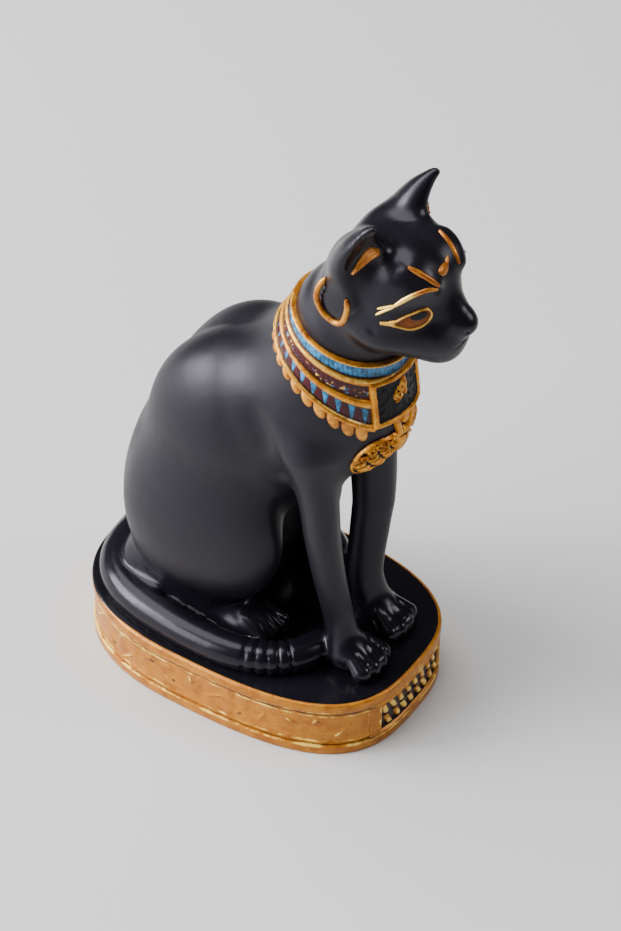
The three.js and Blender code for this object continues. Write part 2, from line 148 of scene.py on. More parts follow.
# Earring: points of the hoop on the left side, and the lobe that fills it
EARRING = (
    (12.6, -24.0, 114.0), (13.4, -22.9, 111.9), (13.7, -22.4, 109.5), (13.7, -22.9, 107.3),
    (13.6, -24.3, 105.2), (13.6, -26.7, 104.1), (13.7, -28.6, 104.6), (13.9, -29.7, 106.7),
    (14.2, -30.4, 109.8), (14.5, -30.2, 112.0),
)
HOOP_RADIUS = 0.66
HOOP_STEPS = 56
LOBE = ((12.4, -26.6, 109.2), (1.35, 4.2, 4.9), 0.0)

# Ear: rear and front corner of its foot, tip, and oval sizes from foot to tip
EAR_REAR = (13.7, -28.9, 113.9)
EAR_FRONT = (6.7, -36.2, 121.0)
EAR_TIP = (13.3, -35.4, 131.2)
EAR_LEVELS = (-0.35, 0, 0.35, 0.7, 0.93, 1.05)
EAR_LONG = (6.4, 7.2, 6.4, 4.4, 2.2, 1.0)
EAR_SHORT = (6.4, 5.6, 4.3, 3.0, 1.8, 1.0)
EAR_BACK = (1.6, 2.4, 2.9, 1.9, 0.6, 0)
EAR_OUT = (0, 0.6, 2.0, 2.2, 0.9, 0.3)
EAR_HOLLOW_SHIFT = 1.05
EAR_HOLLOW_SHARE = 0.8

# Tail: its line on the plinth, radii at both ends, and its start at the rump with radii
TAIL = (
    (3, 36.3, 3), (-7.5, 35.4, 3), (-14.3, 32.3, 3), (-18.8, 27, 3), (-21.3, 20, 3), (-22.6, 12, 3),
    (-23.2, 4, 3), (-22.8, -6, 3), (-20.3, -14.3, 3), (-15.6, -20, 3), (-9.5, -23, 3),
)
TAIL_RADII = (4.6, 4.0)
TAIL_ROOT = ((-0.5, 24, 15, 5.6), (0.8, 29.5, 10.6, 5.2), (2.2, 33.6, 6.4, 4.8), (3, 36.3, 3, 4.6))
# Ring grooves of the tail as shares of its length, with their depth and half-width as a share
TAIL_GROOVES = (0.775, 0.804, 0.833, 0.863, 0.894)
GROOVE_DEPTH = 0.55
GROOVE_WIDTH = 0.0045
# Roll of the rump against the tail, and its radius
RUMP_ROLL = ((-3, 31.6, 5.4), (-9.5, 30.2, 5.6), (-14.4, 25.6, 5.4), (-17.4, 18.5, 4.6))
ROLL_RADIUS = 3.2

# Collar: height of its top and lower edge as polynomials of y, and bands as shares of its drop
COLLAR_TOP = (103.1, 0.324)
COLLAR_LOW = (92.9, 0.412, -0.00743)
COLLAR_AXIS_Y = -20.0
RIM_1, BLUE, RIM_2, MAROON, RIM_3, TRIANGLES, RIM_4 = 0.0, 0.047, 0.203, 0.313, 0.469, 0.578, 0.75
STRIP_END = 0.84
TICKS = 92
TRIANGLE_PAIRS = 34
DROPS = 32

# Breast panel: lower and upper edge, middle, turns that it covers, its motif's ovals and their holes
PANEL_LOW = 74.8
PANEL_HIGH = 87.0
PANEL_X = -1.0
PANEL_TURNS = (-0.52, 0.38)
PANEL_MOTIF = (
    (-0.6, 1.3, 1.7, 1.5, 0.3), (0.5, 2.4, 1.0, 1.7, 0.0), (-1.9, 0.2, 0.8, 1.2, 0.0),
    (-1.0, -0.9, 1.3, 0.5, 0.35), (0.9, 0.6, 0.5, 1.6, 0.0),
)
PANEL_HOLES = ((-1.5, 1.2), (-0.3, 1.6), (-0.9, 0.1), (0.5, 2.6))
PANEL_HATCHES = 95
# Crease between shoulder and flank: its line, depth and half-width
SHOULDER_CREASE = ((17.8, -10, 71.8), (17.9, -12, 67.5), (17.5, -14.5, 62), (14.5, -16, 56))
CREASE_DEPTH = 1.1
CREASE_WIDTH = 3.5

# Scarab: reach and heights of its sheet, the outline of a wing by distance and height, and its dots
SCARAB_REACH = 13.0
SCARAB_LOW = 58.0
SCARAB_TALL = 19.5
WING_OUTLINE = (
    (1.2, 69.5), (3.0, 70.7), (4.6, 70.4), (6.6, 70.5), (8.7, 69.9), (10.4, 67.8), (10.9, 64.8),
    (10.3, 62.0), (8.2, 60.2), (6.2, 60.4), (4.6, 62.0), (2.7, 64.0), (1.2, 65.2),
)
WING_DOTS = ((9.2, 66.4), (8.3, 68.2), (6.9, 69.0), (5.3, 69.0), (3.6, 69.2))

# Plinth: points round its outline and its band, first ring of its black top, front panel's reach
PLINTH_STEPS = 480
BAND_STEPS = 1200
TOP_RING = 11
PANEL_REACH = 13.5
# Front panel's strokes: height of each row and its shift, number in a row and their spacing
STROKE_ROWS = ((-6.0, 0.0), (-10.0, 1.4))
STROKES = 8
STROKE_STEP = 3.0
# Side marks: where they start and end along the outline, their spacing and middle height
SIDE_MARKS = (24, 220, 6.5)
SIDE_MIDDLE = -8

# Looks: metal of the gold paint, strength of the room's light, and lights by place, size and power
METAL = 0.5
WORLD = 0.08
LIGHTS = (
    ("top", (-0.1, 0.4, 1.1), 1.1, 21.0),
    ("back", (-0.55, 1.0, 0.55), 0.7, 30.0),
    ("front", (0.5, -0.9, 0.8), 0.5, 7.0),
    ("side", (-1.0, 0.75, 0.5), 0.8, 20.0),
)
LIGHT_TARGET = (0, 0, 0.06)

# Camera in metres: place, directions to its right and behind it, lens and sensor in millimetres
CAMERA_PLACE = (-0.4254, -0.2870, 0.5107)
CAMERA_RIGHT = (0.5520, -0.8337, 0.0140)
CAMERA_BACK = (-0.6296, -0.4057, 0.6626)
CAMERA_LENS = 115.0
CAMERA_SENSOR = 36.0


# Form of the cat


def ellipsoid(p, mass):
    """Signed distance, nearly, of points to a leaning ellipsoid."""
    centre, radii, lean = mass
    d = p - np.array(centre, float)
    c, s = math.cos(lean), math.sin(lean)
    q = np.stack([d[:, 0], c * d[:, 1] + s * d[:, 2], c * d[:, 2] - s * d[:, 1]], 1)
    r = np.array(radii, float)
    near = np.linalg.norm(q / r, axis=1)
    slope = np.maximum(np.linalg.norm(q / r**2, axis=1), 1e-9)
    return near * (near - 1) / slope


def limb(p, start, end, r0, r1):
    """Signed distance to a tapered round limb."""
    a = np.array(start, float)
    ab = np.array(end, float) - a
    ap = p - a
    t = np.clip(ap @ ab / (ab @ ab), 0, 1)
    return np.linalg.norm(ap - t[:, None] * ab, axis=1) - (r0 + (r1 - r0) * t)


def blend(a, b, width):
    """Union of two distances with a fillet of that width."""
    h = np.maximum(width - np.abs(a - b), 0) / width
    return np.minimum(a, b) - h * h * width / 4


def chain_distance(p, points):
    """Distance to a line of points, and the share of its length where the nearest point lies."""
    pts = np.array(points, float)
    lengths = np.linalg.norm(np.diff(pts, axis=0), axis=1)
    total = lengths.sum()
    best = np.full(len(p), 1e9)
    share = np.zeros(len(p))
    done = 0.0
    for a, b, length in zip(pts[:-1], pts[1:], lengths):
        ab = b - a
        t = np.clip((p - a) @ ab / (ab @ ab), 0, 1)
        d = np.linalg.norm(p - a - t[:, None] * ab, axis=1)
        nearer = d < best
        best = np.where(nearer, d, best)
        share = np.where(nearer, (done + t * length) / total, share)
        done += length
    return best, share


def smooth_line(points, per_span):
    """A smooth line through the points, with per_span steps between each two."""
    pts = np.array(points, float)
    padded = np.vstack([2 * pts[0] - pts[1], pts, 2 * pts[-1] - pts[-2]])
    out = []
    for i in range(1, len(padded) - 2):
        p0, p1, p2, p3 = padded[i - 1 : i + 3]
        for t in np.linspace(0, 1, per_span, endpoint=False):
            bend = (2 * p0 - 5 * p1 + 4 * p2 - p3) * t**2
            twist = (3 * p1 - p0 - 3 * p2 + p3) * t**3
            out.append((2 * p1 + (p2 - p0) * t + bend + twist) / 2)
    out.append(pts[-1])
    return np.array(out)


def even_line(points, count):
    """That many points at even spacing along a line."""
    pts = np.array(points, float)
    run = np.concatenate([[0], np.cumsum(np.linalg.norm(np.diff(pts, axis=0), axis=1))])
    s = np.linspace(0, run[-1], count)
    return np.stack([np.interp(s, run, pts[:, k]) for k in range(3)], 1)


FORELEG_LINE = smooth_line(np.column_stack([FORELEG, FORELEG_RADII]), 24)
TAIL_LINE = smooth_line(np.column_stack([TAIL, np.linspace(*TAIL_RADII, len(TAIL))]), 24)
ROOT_LINE = smooth_line(TAIL_ROOT, 24)
ROLL_LINE = smooth_line(np.column_stack([RUMP_ROLL, [ROLL_RADIUS] * len(RUMP_ROLL)]), 24)
EAR_PROFILE = smooth_line(np.stack([EAR_LEVELS, EAR_LONG, EAR_SHORT, EAR_BACK, EAR_OUT], 1), 6)


def swept(p, line, spread=1.0):
    """Signed distance to a round limb along a dense smooth line of places and radii, and its share."""
    run = np.concatenate([[0], np.cumsum(np.linalg.norm(np.diff(line[:, :3], axis=0), axis=1))])
    _, share = chain_distance(p, line[::6, :3])
    s = share * run[-1]

    def at(where):
        return np.stack([np.interp(where, run, line[:, k]) for k in range(3)], 1)

    for _ in range(2):
        here = at(s)
        along = at(s + 1.0) - at(s - 1.0)
        along /= np.maximum(np.linalg.norm(along, axis=1), 1e-9)[:, None]
        s = np.clip(s + ((p - here) * along).sum(1), 0, run[-1])
    q = p - at(s)
    out = (q[:, 0] - q[:, 1]) * 0.5 * (1 - 1 / spread)
    q = q + np.stack([-out, out, np.zeros(len(q))], 1)
    return np.linalg.norm(q, axis=1) - np.interp(s, run, line[:, 3]), s / run[-1]


def mirrored(p):
    """The points with their distance from the middle plane in place of x."""
    return np.stack([np.abs(p[:, 0]), p[:, 1], p[:, 2]], 1)


def toe_lines(places):
    """Start and end of each toe of a paw."""
    middle, spread, (root, tip), _ = places
    for k in TOE_PLACES:
        start = (middle[0] + 0.75 * spread * k, middle[1] + root[0], root[1])
        end = (middle[0] + spread * k, middle[1] + tip[0] + 0.45 * k * k, tip[1])
        yield np.array(start, float), np.array(end, float)


def toes(p, places):
    """A row of toes in front of a paw."""
    d = np.full(len(p), 1e9)
    for start, end in toe_lines(places):
        d = blend(d, limb(p, start, end, *places[3]), 0.4)
    return d


def toe_grooves(p, places):
    """Depth of the upright grooves between the toes of a paw."""
    depth, width, reach, fade, full = TOE_GROOVE
    lines = list(toe_lines(places))
    cut = np.zeros(len(p))
    for (start, end), (next_start, next_end) in zip(lines, lines[1:]):
        a, b = (start + next_start)[:2] / 2, (end + next_end)[:2] / 2
        b = b + (b - a) / np.linalg.norm(b - a) * reach
        share = np.clip((p[:, :2] - a) @ (b - a) / ((b - a) @ (b - a)), 0, 1)
        gap = np.linalg.norm(p[:, :2] - a - share[:, None] * (b - a), axis=1)
        faded = np.clip((share - fade) / (full - fade), 0, 1)
        cut = np.maximum(cut, depth * bump(gap, width) * faded)
    return cut * np.clip(p[:, 2] / 1.2, 0, 1)


def line_distance(p, points):
    """Distance to a smooth line through the points."""
    return chain_distance(p, smooth_line(points, 5))[0]


def bump(distance, reach):
    """1 on a line and falling off smoothly over reach."""
    return np.exp(-((distance / reach) ** 2))


def torso(p):
    """Body without head, hind feet and tail. x is the distance from the middle plane."""
    d = ellipsoid(p, SEAT)
    for mass, fillet in ((BACK, 8), (SHOULDER, 10), (CHEST, 10)):
        d = blend(d, ellipsoid(p, mass), fillet)
    d = blend(d, limb(p, *NECK), 8)
    d = blend(d, ellipsoid(p, THIGH), 6)
    d = blend(d, limb(p, *HOCK), 4)
    front = (p[:, 1] < -8) & (p[:, 2] < 78)
    q = p[front]
    leg, _ = swept(q, FORELEG_LINE, FORELEG_SPREAD)
    d[front] = blend(d[front], leg, 5)
    low = p[:, 2] < 12
    q = p[low]
    paw = blend(d[low], ellipsoid(q, FOREPAW), 3)
    d[low] = blend(paw, toes(q, FORE_TOES), 0.5) + toe_grooves(q, FORE_TOES)
    return d


def skin(p):
    """The torso with x of either sign."""
    return torso(mirrored(p))


def ear(p):
    """One ear as a hollowed oval cone."""
    front, rear = np.array(EAR_FRONT), np.array(EAR_REAR)
    foot = (front + rear) / 2
    rise = np.array(EAR_TIP) - foot
    along = (front - rear) / np.linalg.norm(front - rear)
    back = np.cross(along, rise)
    back /= np.linalg.norm(back)
    a, b, t = np.linalg.solve(np.stack([along, back, rise], 1), (p - foot).T)
    height = np.linalg.norm(rise)

    def cone(level, share, forward):
        long, short, set_back, out = (
            np.interp(level, EAR_PROFILE[:, 0], EAR_PROFILE[:, k]) for k in (1, 2, 3, 4)
        )
        across = (a + out) / (long * share)
        through = (b - set_back + forward * short) / (short * share)
        return (np.hypot(across, through) - 1) * short * share

    outer = blend(cone(t, 1, 0), np.full(len(p), 50.0), 1)
    outer = -blend(-outer, (1 - t) * height, 1.2)
    outer = np.maximum(outer, (-0.3 - t) * height)
    hollow = -cone(t - 0.07, EAR_HOLLOW_SHARE, EAR_HOLLOW_SHIFT)
    return -blend(-outer, -hollow, 1.4)


def head(p):
    """The head with its ears. x is the distance from the middle plane."""
    d = ellipsoid(p, SKULL)
    for mass, fillet in ((NAPE, 6), (EAR_BASE, 5), (CHEEK, 5)):
        d = blend(d, ellipsoid(p, mass), fillet)
    soft = np.stack([np.sqrt(p[:, 0] ** 2 + 2), p[:, 1], p[:, 2]], 1)
    d = blend(d, ellipsoid(soft, BROW), 4)
    d = blend(d, ellipsoid(p, MUZZLE), 5)
    d = blend(d, limb(p, *BRIDGE), 4)
    d = blend(d, ellipsoid(p, CHIN), 3)
    d = blend(d, ellipsoid(p, NOSE), 2)
    d = blend(d, ear(p), 2.5)
    d = blend(d, ellipsoid(p, LOBE), 1.6)
    face = (p[:, 1] < -33) & (p[:, 2] > 92)
    d[face] -= face_relief(p[face])
    return d


def face_relief(p):
    """Fine forms of the face: brow, lid, mouth, nostril, dimple and eye, in millimetres."""
    d = p - np.array(EYE_MIDDLE)
    along = np.array(EYE_ALONG) / np.linalg.norm(EYE_ALONG)
    run = d @ along
    across = np.linalg.norm(d - run[:, None] * along, axis=1)
    ball = EYE_BALL * bump(np.hypot(run / EYE_REACH[0], across / EYE_REACH[1]), 1)
    socket = EYE_SOCKET[0] * bump(np.hypot(run / EYE_SOCKET[1], across / EYE_SOCKET[2]), 1)
    relief = ball - socket
    for line, height, width in FACE_LINE_RELIEF:
        relief += height * bump(line_distance(p, line), width)
    for point, depth, width in FACE_PITS:
        relief -= depth * bump(np.linalg.norm(p - np.array(point), axis=1), width)
    return relief


def tail(p):
    """The tail with the ring grooves near its tip."""
    distance, share = swept(p, TAIL_LINE)
    for groove in TAIL_GROOVES:
        distance = distance + GROOVE_DEPTH * bump(share - groove, GROOVE_WIDTH)
    return distance


def cat(p):
    """The whole cat above its plinth."""
    side = mirrored(p)
    flank = (p[:, 2] > 38) & (p[:, 2] < 86) & (p[:, 1] > -28) & (p[:, 1] < 8)
    back = LEFT_FORELEG_BACK * np.clip((34 - p[:, 2]) / 20, 0, 1) * np.clip(-14 - p[:, 1], 0, 4) / 4
    side[:, 1] -= np.where(p[:, 0] > 0, back, 0)
    d = torso(side)
    side[:, 1] = p[:, 1]
    d[flank] += CREASE_DEPTH * bump(line_distance(side[flank], SHOULDER_CREASE), CREASE_WIDTH)
    high = p[:, 2] > 85
    d[high] = blend(d[high], head(side[high]), 3)
    low = p[:, 2] < 14
    q = p[low]
    feet = blend(d[low], ellipsoid(q, RIGHT_HINDPAW), 3)
    feet = blend(feet, ellipsoid(q, LEFT_HINDPAW), 4)
    feet = blend(feet, toes(q, RIGHT_HIND_TOES), 0.6) + toe_grooves(q, RIGHT_HIND_TOES)
    feet = blend(feet, toes(q, LEFT_HIND_TOES), 0.8)
    roll, _ = swept(q, ROLL_LINE)
    d[low] = blend(blend(feet, roll, 1.0), tail(q), 1.0)
    rump = (p[:, 2] < 26) & (p[:, 1] > 20)
    root, _ = swept(p[rump], ROOT_LINE)
    d[rump] = blend(d[rump], root, 2.0)
    return d


def slope_of(field, p, reach=0.2):
    """Gradient of a field at points."""
    here = field(p)
    columns = []
    for k in range(3):
        step = np.zeros(3)
        step[k] = reach
        columns.append((field(p + step) - here) / reach)
    return here, np.stack(columns, 1)


def settle(p, field, passes=5, level=False):
    """Moves points onto the surface of a field, at their own height if level is set."""
    p = p.copy()
    for _ in range(passes):
        value, g = slope_of(field, p)
        if level:
            g[:, 2] = 0
        size = np.maximum((g**2).sum(1), 0.05)
        step = np.clip(value / size, -0.8, 0.8)
        p -= g * step[:, None]
    return p


def normals_of(field, p):
    """Outward unit normals of a field at points."""
    _, g = slope_of(field, p)
    return g / np.maximum(np.linalg.norm(g, axis=1), 1e-6)[:, None]


# Meshes and edit steps


def sizes():
    """The sizes that the sidebar shows."""
    return bpy.context.scene.cat_sizes


def to_scene(p):
    """Figure millimetres to metres in the row frame."""
    lift = np.array([0, 0, sizes().plinth_height * 1000])
    return (np.asarray(p, float) + lift) * 0.001


def to_figure(p):
    """Metres in the row frame to figure millimetres."""
    return np.asarray(p, float) * 1000 - np.array([0, 0, sizes().plinth_height * 1000])


def deselect():
    """Leaves nothing selected."""
    if bpy.context.object and bpy.context.object.mode != "OBJECT":
        bpy.ops.object.mode_set(mode="OBJECT")
    bpy.ops.object.select_all(action="DESELECT")


def activate(obj):
    """Makes obj the only selected and active object."""
    deselect()
    obj.select_set(True)
    bpy.context.view_layer.objects.active = obj


def enter_edit(obj):
    """Edit mode with the whole mesh of obj selected."""
    activate(obj)
    bpy.ops.object.mode_set(mode="EDIT")
    bpy.ops.mesh.select_all(action="SELECT")


def leave_edit():
    """Back from edit mode."""
    bpy.ops.object.mode_set(mode="OBJECT")


def raw_points(obj):
    """Vertex places of a mesh object as they are stored."""
    co = np.empty(len(obj.data.vertices) * 3)
    obj.data.vertices.foreach_get("co", co)
    return co.reshape(-1, 3)


def get_points(obj):
    """Vertex places of a mesh object, in figure millimetres."""
    return to_figure(raw_points(obj))


def set_points(obj, p):
    """Puts the vertices of a mesh object at places in figure millimetres."""
    obj.data.vertices.foreach_set("co", to_scene(p).ravel())
    obj.data.update()


def finish_piece(obj, name, material, smooth=True):
    """Names a piece, gives it its material and hangs it on the casting."""
    obj.name = name
    obj.data.name = name
    obj.data.materials.clear()
    obj.data.materials.append(material)
    activate(obj)
    if smooth:
        bpy.ops.object.shade_smooth()
    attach(obj, BODY)
    deselect()
    return obj


def add_grid(columns, rows):
    """A flat grid primitive with its own UV map, u along the columns and v along the rows."""
    deselect()
    bpy.ops.mesh.primitive_grid_add(
        x_subdivisions=columns, y_subdivisions=rows, size=1, calc_uvs=True
    )
    obj = bpy.context.object
    co = raw_points(obj)
    return obj, co[:, 0] + 0.5, co[:, 1] + 0.5


def close_loop(obj):
    """Joins the two meeting edges of a sheet that was bent into a ring."""
    enter_edit(obj)
    bpy.ops.mesh.remove_doubles(threshold=0.000005)
    bpy.ops.mesh.normals_make_consistent(inside=False)
    leave_edit()


def face_outward(obj, field=cat):
    """Turns the faces of a sheet so that they point away from the cat."""
    me = obj.data
    n = len(me.polygons)
    centre = np.empty(n * 3)
    normal = np.empty(n * 3)
    me.polygons.foreach_get("center", centre)
    me.polygons.foreach_get("normal", normal)
    out = normals_of(field, to_figure(centre.reshape(-1, 3)))
    if (out * normal.reshape(-1, 3)).sum() < 0:
        enter_edit(obj)
        bpy.ops.mesh.flip_normals()
        leave_edit()


def dome(x):
    """A round top: 1 at 0 and 0 at 1 and beyond."""
    return np.sqrt(np.maximum(1 - np.minimum(np.abs(x), 1) ** 2, 0))


# Shader maths


class Value:
    """A shader socket that takes part in Python arithmetic."""

    def __init__(self, shader, socket):
        self.shader = shader
        self.socket = socket

    def _math(self, operation, *others):
        node = self.shader.node("ShaderNodeMath", {"operation": operation}, {0: self})
        for index, other in enumerate(others, 1):
            self.shader.feed(node.inputs[index], other)
        return Value(self.shader, node.outputs[0])

    def __add__(self, other):
        return self._math("ADD", other)

    __radd__ = __add__

    def __sub__(self, other):
        return self._math("SUBTRACT", other)

    def __rsub__(self, other):
        return (self * -1.0) + other

    def __mul__(self, other):
        return self._math("MULTIPLY", other)

    __rmul__ = __mul__

    def __truediv__(self, other):
        return self._math("DIVIDE", other)

    def __rtruediv__(self, other):
        return self._math("POWER", -1.0) * other

    def __mod__(self, other):
        return self._math("FLOORED_MODULO", other)

    def under(self, limit):
        """1 where the value is less than the limit."""
        return self._math("LESS_THAN", limit)

    def size(self):
        """The value without its sign."""
        return self._math("ABSOLUTE")


class Shader:
    """One material's node tree and the ways to add to it."""

    def __init__(self, name):
        self.material = bpy.data.materials.new(name)
        self.material.use_nodes = True
        self.tree = self.material.node_tree
        self.tree.nodes.clear()
        self.output = self.tree.nodes.new("ShaderNodeOutputMaterial")

    def feed(self, socket, value):
        """Links a Value to a socket, or sets a constant on it."""
        if isinstance(value, Value):
            self.tree.links.new(value.socket, socket)
        else:
            socket.default_value = value

    def node(self, kind, settings=None, inputs=None):
        """Adds a node, sets its settings, then its sockets by name or number."""
        node = self.tree.nodes.new(kind)
        for key, value in (settings or {}).items():
            if key == "stops":
                ramp = node.color_ramp
                while len(ramp.elements) < len(value):
                    ramp.elements.new(0.5)
                for element, (place, colour) in zip(ramp.elements, value):
                    element.position = place
                    element.color = colour
            else:
                setattr(node, key, value)
        for key, value in (inputs or {}).items():
            self.feed(node.inputs[key], value)
        return node

    def out(self, node, key=0):
        """An output of a node as a Value."""
        return Value(self, node.outputs[key])

    def place(self):
        """Object coordinates."""
        return self.out(self.node("ShaderNodeTexCoord"), "Object")

    def uv(self):
        """The two parts of the piece's own UV map."""
        uv = self.out(self.node("ShaderNodeTexCoord"), "UV")
        return self.part(uv, 0), self.part(uv, 1)

    def part(self, vector, index):
        """One of the three parts of a vector."""
        return self.out(self.node("ShaderNodeSeparateXYZ", inputs={0: vector}), index)

    def attribute(self, name):
        """A number stored on the piece's points."""
        node = self.node("ShaderNodeAttribute", {"attribute_name": name})
        return self.out(node, "Fac")

    def noise(self, scale, detail=3.0, roughness=0.55, at=None):
        """Cloudy noise from 0 to 1, scale per metre."""
        node = self.node(
            "ShaderNodeTexNoise",
            inputs={"Vector": at or self.place(), "Scale": scale, "Detail": detail, "Roughness": roughness},
        )
        return self.out(node, "Fac")

    def ramp(self, value, low, high):
        """0 below low and 1 above high, smooth between."""
        node = self.node(
            "ShaderNodeMapRange",
            {"interpolation_type": "SMOOTHSTEP"},
            {"Value": value, "From Min": low, "From Max": high},
        )
        return self.out(node)

    def mix(self, factor, a, b):
        """Colour a where factor is 0 and colour b where it is 1."""
        node = self.node("ShaderNodeMix", {"data_type": "RGBA"}, {0: factor, 6: a, 7: b})
        return self.out(node, 2)

    def bump(self, height, distance, strength=1.0, normal=None):
        """A bumped normal from a height from 0 to 1 over a distance in metres."""
        node = self.node(
            "ShaderNodeBump", inputs={"Strength": strength, "Distance": distance, "Height": height}
        )
        if normal:
            self.feed(node.inputs["Normal"], normal)
        return self.out(node)

    def finish(self, constants, **sockets):
        """The closing surface shader: constants on its sockets, varying inputs linked."""
        shader = self.node("ShaderNodeBsdfPrincipled")
        for key, value in constants.items():
            shader.inputs[key].default_value = value
        for key, value in sockets.items():
            self.feed(shader.inputs[key.replace("_", " ")], value)
        self.tree.links.new(shader.outputs[0], self.output.inputs["Surface"])
        return self.material


def paint(name, share=1.0):
    """One of the sidebar's colours as RGBA, lightened or darkened by a share."""
    red, green, blue = getattr(bpy.context.scene.cat_paints, name)
    return (red * share, green * share, blue * share, 1.0)


def black_coat(shader):
    """Colour, roughness and bump of the satin black paint."""
    cloud = shader.noise(60, 4, 0.6)
    grain = shader.noise(900, 3, 0.6)
    dust = shader.ramp(shader.noise(1500, 2, 0.5), 0.66, 0.82)
    base = shader.mix(cloud, paint("black", 0.6), paint("black", 1.4))
    base = shader.mix(dust * 0.3, base, paint("black", 5.0))
    height = shader.part(shader.place(), 2)
    low = 1 - shader.ramp(height, 0.022, 0.036)
    head = shader.ramp(height, 0.108, 0.122)
    rough = 0.42 + (cloud - 0.5) * 0.14 + (grain - 0.5) * 0.08 - low * 0.19 - head * 0.12
    swell = shader.bump(shader.noise(130, 2, 0.5), 0.0003, 0.5)
    normal = shader.bump(grain, 0.00002, 0.5, swell)
    return base, rough, normal


def gold_coat(shader, deep="copper", main="gold", flecks=0.5):
    """Colour, roughness and bump of hand-laid gold paint in three tones, by default the trim's."""
    streak = shader.noise(260, 4, 0.65)
    fleck = shader.ramp(shader.noise(1300, 2, 0.6), 0.52, 0.72)
    base = shader.mix(shader.ramp(streak, 0.3, 0.62), paint(deep), paint(main))
    base = shader.mix(fleck * flecks, base, paint("pale_gold"))
    rough = 0.36 - fleck * 0.1 + (streak - 0.5) * 0.15
    normal = shader.bump(shader.noise(700, 3, 0.6), 0.00007, 0.8)
    return base, rough, normal


def black_material():
    """Satin black paint over the cast surface."""
    shader = Shader("satin_black_paint")
    base, rough, normal = black_coat(shader)
    return shader.finish(
        {"Specular IOR Level": 0.27, "Specular Tint": (0.9, 0.86, 1.0, 1)},
        Base_Color=base,
        Roughness=rough,
        Normal=normal,
    )


def gold_material(name, red=0.0):
    """Metallic gold paint, more or less coppery."""
    shader = Shader(name)
    base, rough, normal = gold_coat(shader)
    base = shader.mix(shader.noise(420, 2, 0.5) * red, base, paint("copper", 1.2))
    return shader.finish({"Metallic": METAL}, Base_Color=base, Roughness=rough, Normal=normal)


def line_material():
    """Face lines: orange gold that turns to pale gold, a painted highlight, with the pale attribute."""
    shader = Shader("face_line_paint")
    base, rough, normal = gold_coat(shader)
    base = shader.mix(shader.noise(420, 2, 0.5) * 1.3, base, paint("copper", 1.1))
    pale = shader.attribute("pale") + (shader.noise(900, 2, 0.5) - 0.5) * 0.5
    base = shader.mix(shader.ramp(pale, 0.3, 0.7), base, paint("pale_gold"))
    return shader.finish({"Metallic": METAL}, Base_Color=base, Roughness=rough, Normal=normal)


def eye_material():
    """Pale rim, copper eye and black pupil by the sheet's own attributes."""
    shader = Shader("eye_paint")
    gold, rough, normal = gold_coat(shader)
    copper = shader.mix(shader.noise(800, 2, 0.5), paint("shade_and_iris_brown", 1.3), paint("copper", 1.0))
    pale = shader.mix(shader.noise(600, 2, 0.5), gold, paint("pale_gold", 0.9))
    base = shader.mix(shader.attribute("rim"), copper, pale)
    pupil = shader.ramp(shader.attribute("pupil"), 0.4, 0.6)
    base = shader.mix(pupil, base, paint("black"))
    metal = (1 - pupil) * METAL
    return shader.finish(
        {"Specular IOR Level": 0.3}, Base_Color=base, Roughness=rough + pupil * 0.25,
        Metallic=metal, Normal=normal,
    )


def collar_material():
    """Bands of gold, blue and maroon enamel, laid by the strip's own UV map, with painted shade along the
    band edges and painted highlights on three rims.
    """
    shader = Shader("collar_enamel")
    u, v = shader.uv()
    v = v + (shader.noise(260, 2, 0.5) - 0.5) * 0.016
    gold, gold_rough, gold_normal = gold_coat(shader)
    tone = shader.noise(700, 3, 0.6)
    blue = shader.mix(shader.ramp(tone, 0.35, 0.65), paint("blue", 0.55), paint("blue", 1.7))
    maroon = shader.mix(tone, paint("maroon", 0.5), paint("maroon", 1.6))
    shaken = u * TICKS + (shader.noise(300, 2, 0.5) - 0.5) * 0.9
    gap = shader.ramp((shaken % 1.0 - 0.5).size(), 0.32, 0.5)
    blue_band = shader.mix(gap * shader.noise(330, 2, 0.5), blue, paint("blue", 0.12))
    beads = shader.ramp(shader.noise(850, 2, 0.5), 0.54, 0.62)
    beads = beads * shader.ramp(v, MAROON + 0.05, RIM_3 - 0.05)
    maroon_band = shader.mix(gap * 0.5, maroon, paint("maroon", 0.3))
    bead_paint = shader.mix(
        shader.ramp(shader.noise(500, 1, 0.5), 0.45, 0.55), paint("pale_gold"), paint("blue", 1.6)
    )
    maroon_band = shader.mix(beads * 0.8, maroon_band, bead_paint)
    rise = (v - TRIANGLES) / (RIM_4 - TRIANGLES)
    wave = ((u * TRIANGLE_PAIRS) % 1.0 - 0.5).size() * 2.0
    edge = triangle_edge(wave, rise)
    triangle_band = shader.mix(edge.under(0.0), maroon, blue)
    # painted shade: deep brown along the grooved edges of the triangles
    seam = (1 - shader.ramp(edge.size(), 0.02, 0.09)) * 0.65
    triangle_band = shader.mix(seam, triangle_band, paint("shade_and_iris_brown"))
    base, enamel = gold, 0.0
    for band, low, high in (
        (blue_band, BLUE, RIM_2),
        (maroon_band, MAROON, RIM_3),
        (triangle_band, TRIANGLES, RIM_4),
    ):
        inside = shader.ramp(v, low - 0.004, low + 0.004)
        inside = inside * (1 - shader.ramp(v, high - 0.004, high + 0.004))
        base = shader.mix(inside, base, band)
        enamel = inside + enamel
        # painted shade: a deep brown line along each edge of an enamel band, where it meets a raised rim
        for place in (low, high):
            line = 1 - shader.ramp((v - place).size(), 0.004, 0.016)
            base = shader.mix(line * 0.85, base, paint("shade_and_iris_brown"))
    second_rim = (RIM_2 + MAROON) / 2
    # painted highlight: pale gold lines along three of the rims
    for highlight_line, half in ((RIM_4 + 0.012, 0.012), (second_rim - 0.02, 0.03), (RIM_1 + 0.03, 0.02)):
        pale = (1 - shader.ramp((v - highlight_line).size(), half * 0.35, half)) * shader.ramp(tone, 0.35, 0.6)
        base = shader.mix(pale * 0.75, base, paint("pale_gold"))
    return shader.finish(
        {"Specular IOR Level": 0.3},
        Base_Color=base,
        Roughness=gold_rough - enamel * 0.12,
        Metallic=(1 - enamel) * METAL,
        Normal=gold_normal,
    )


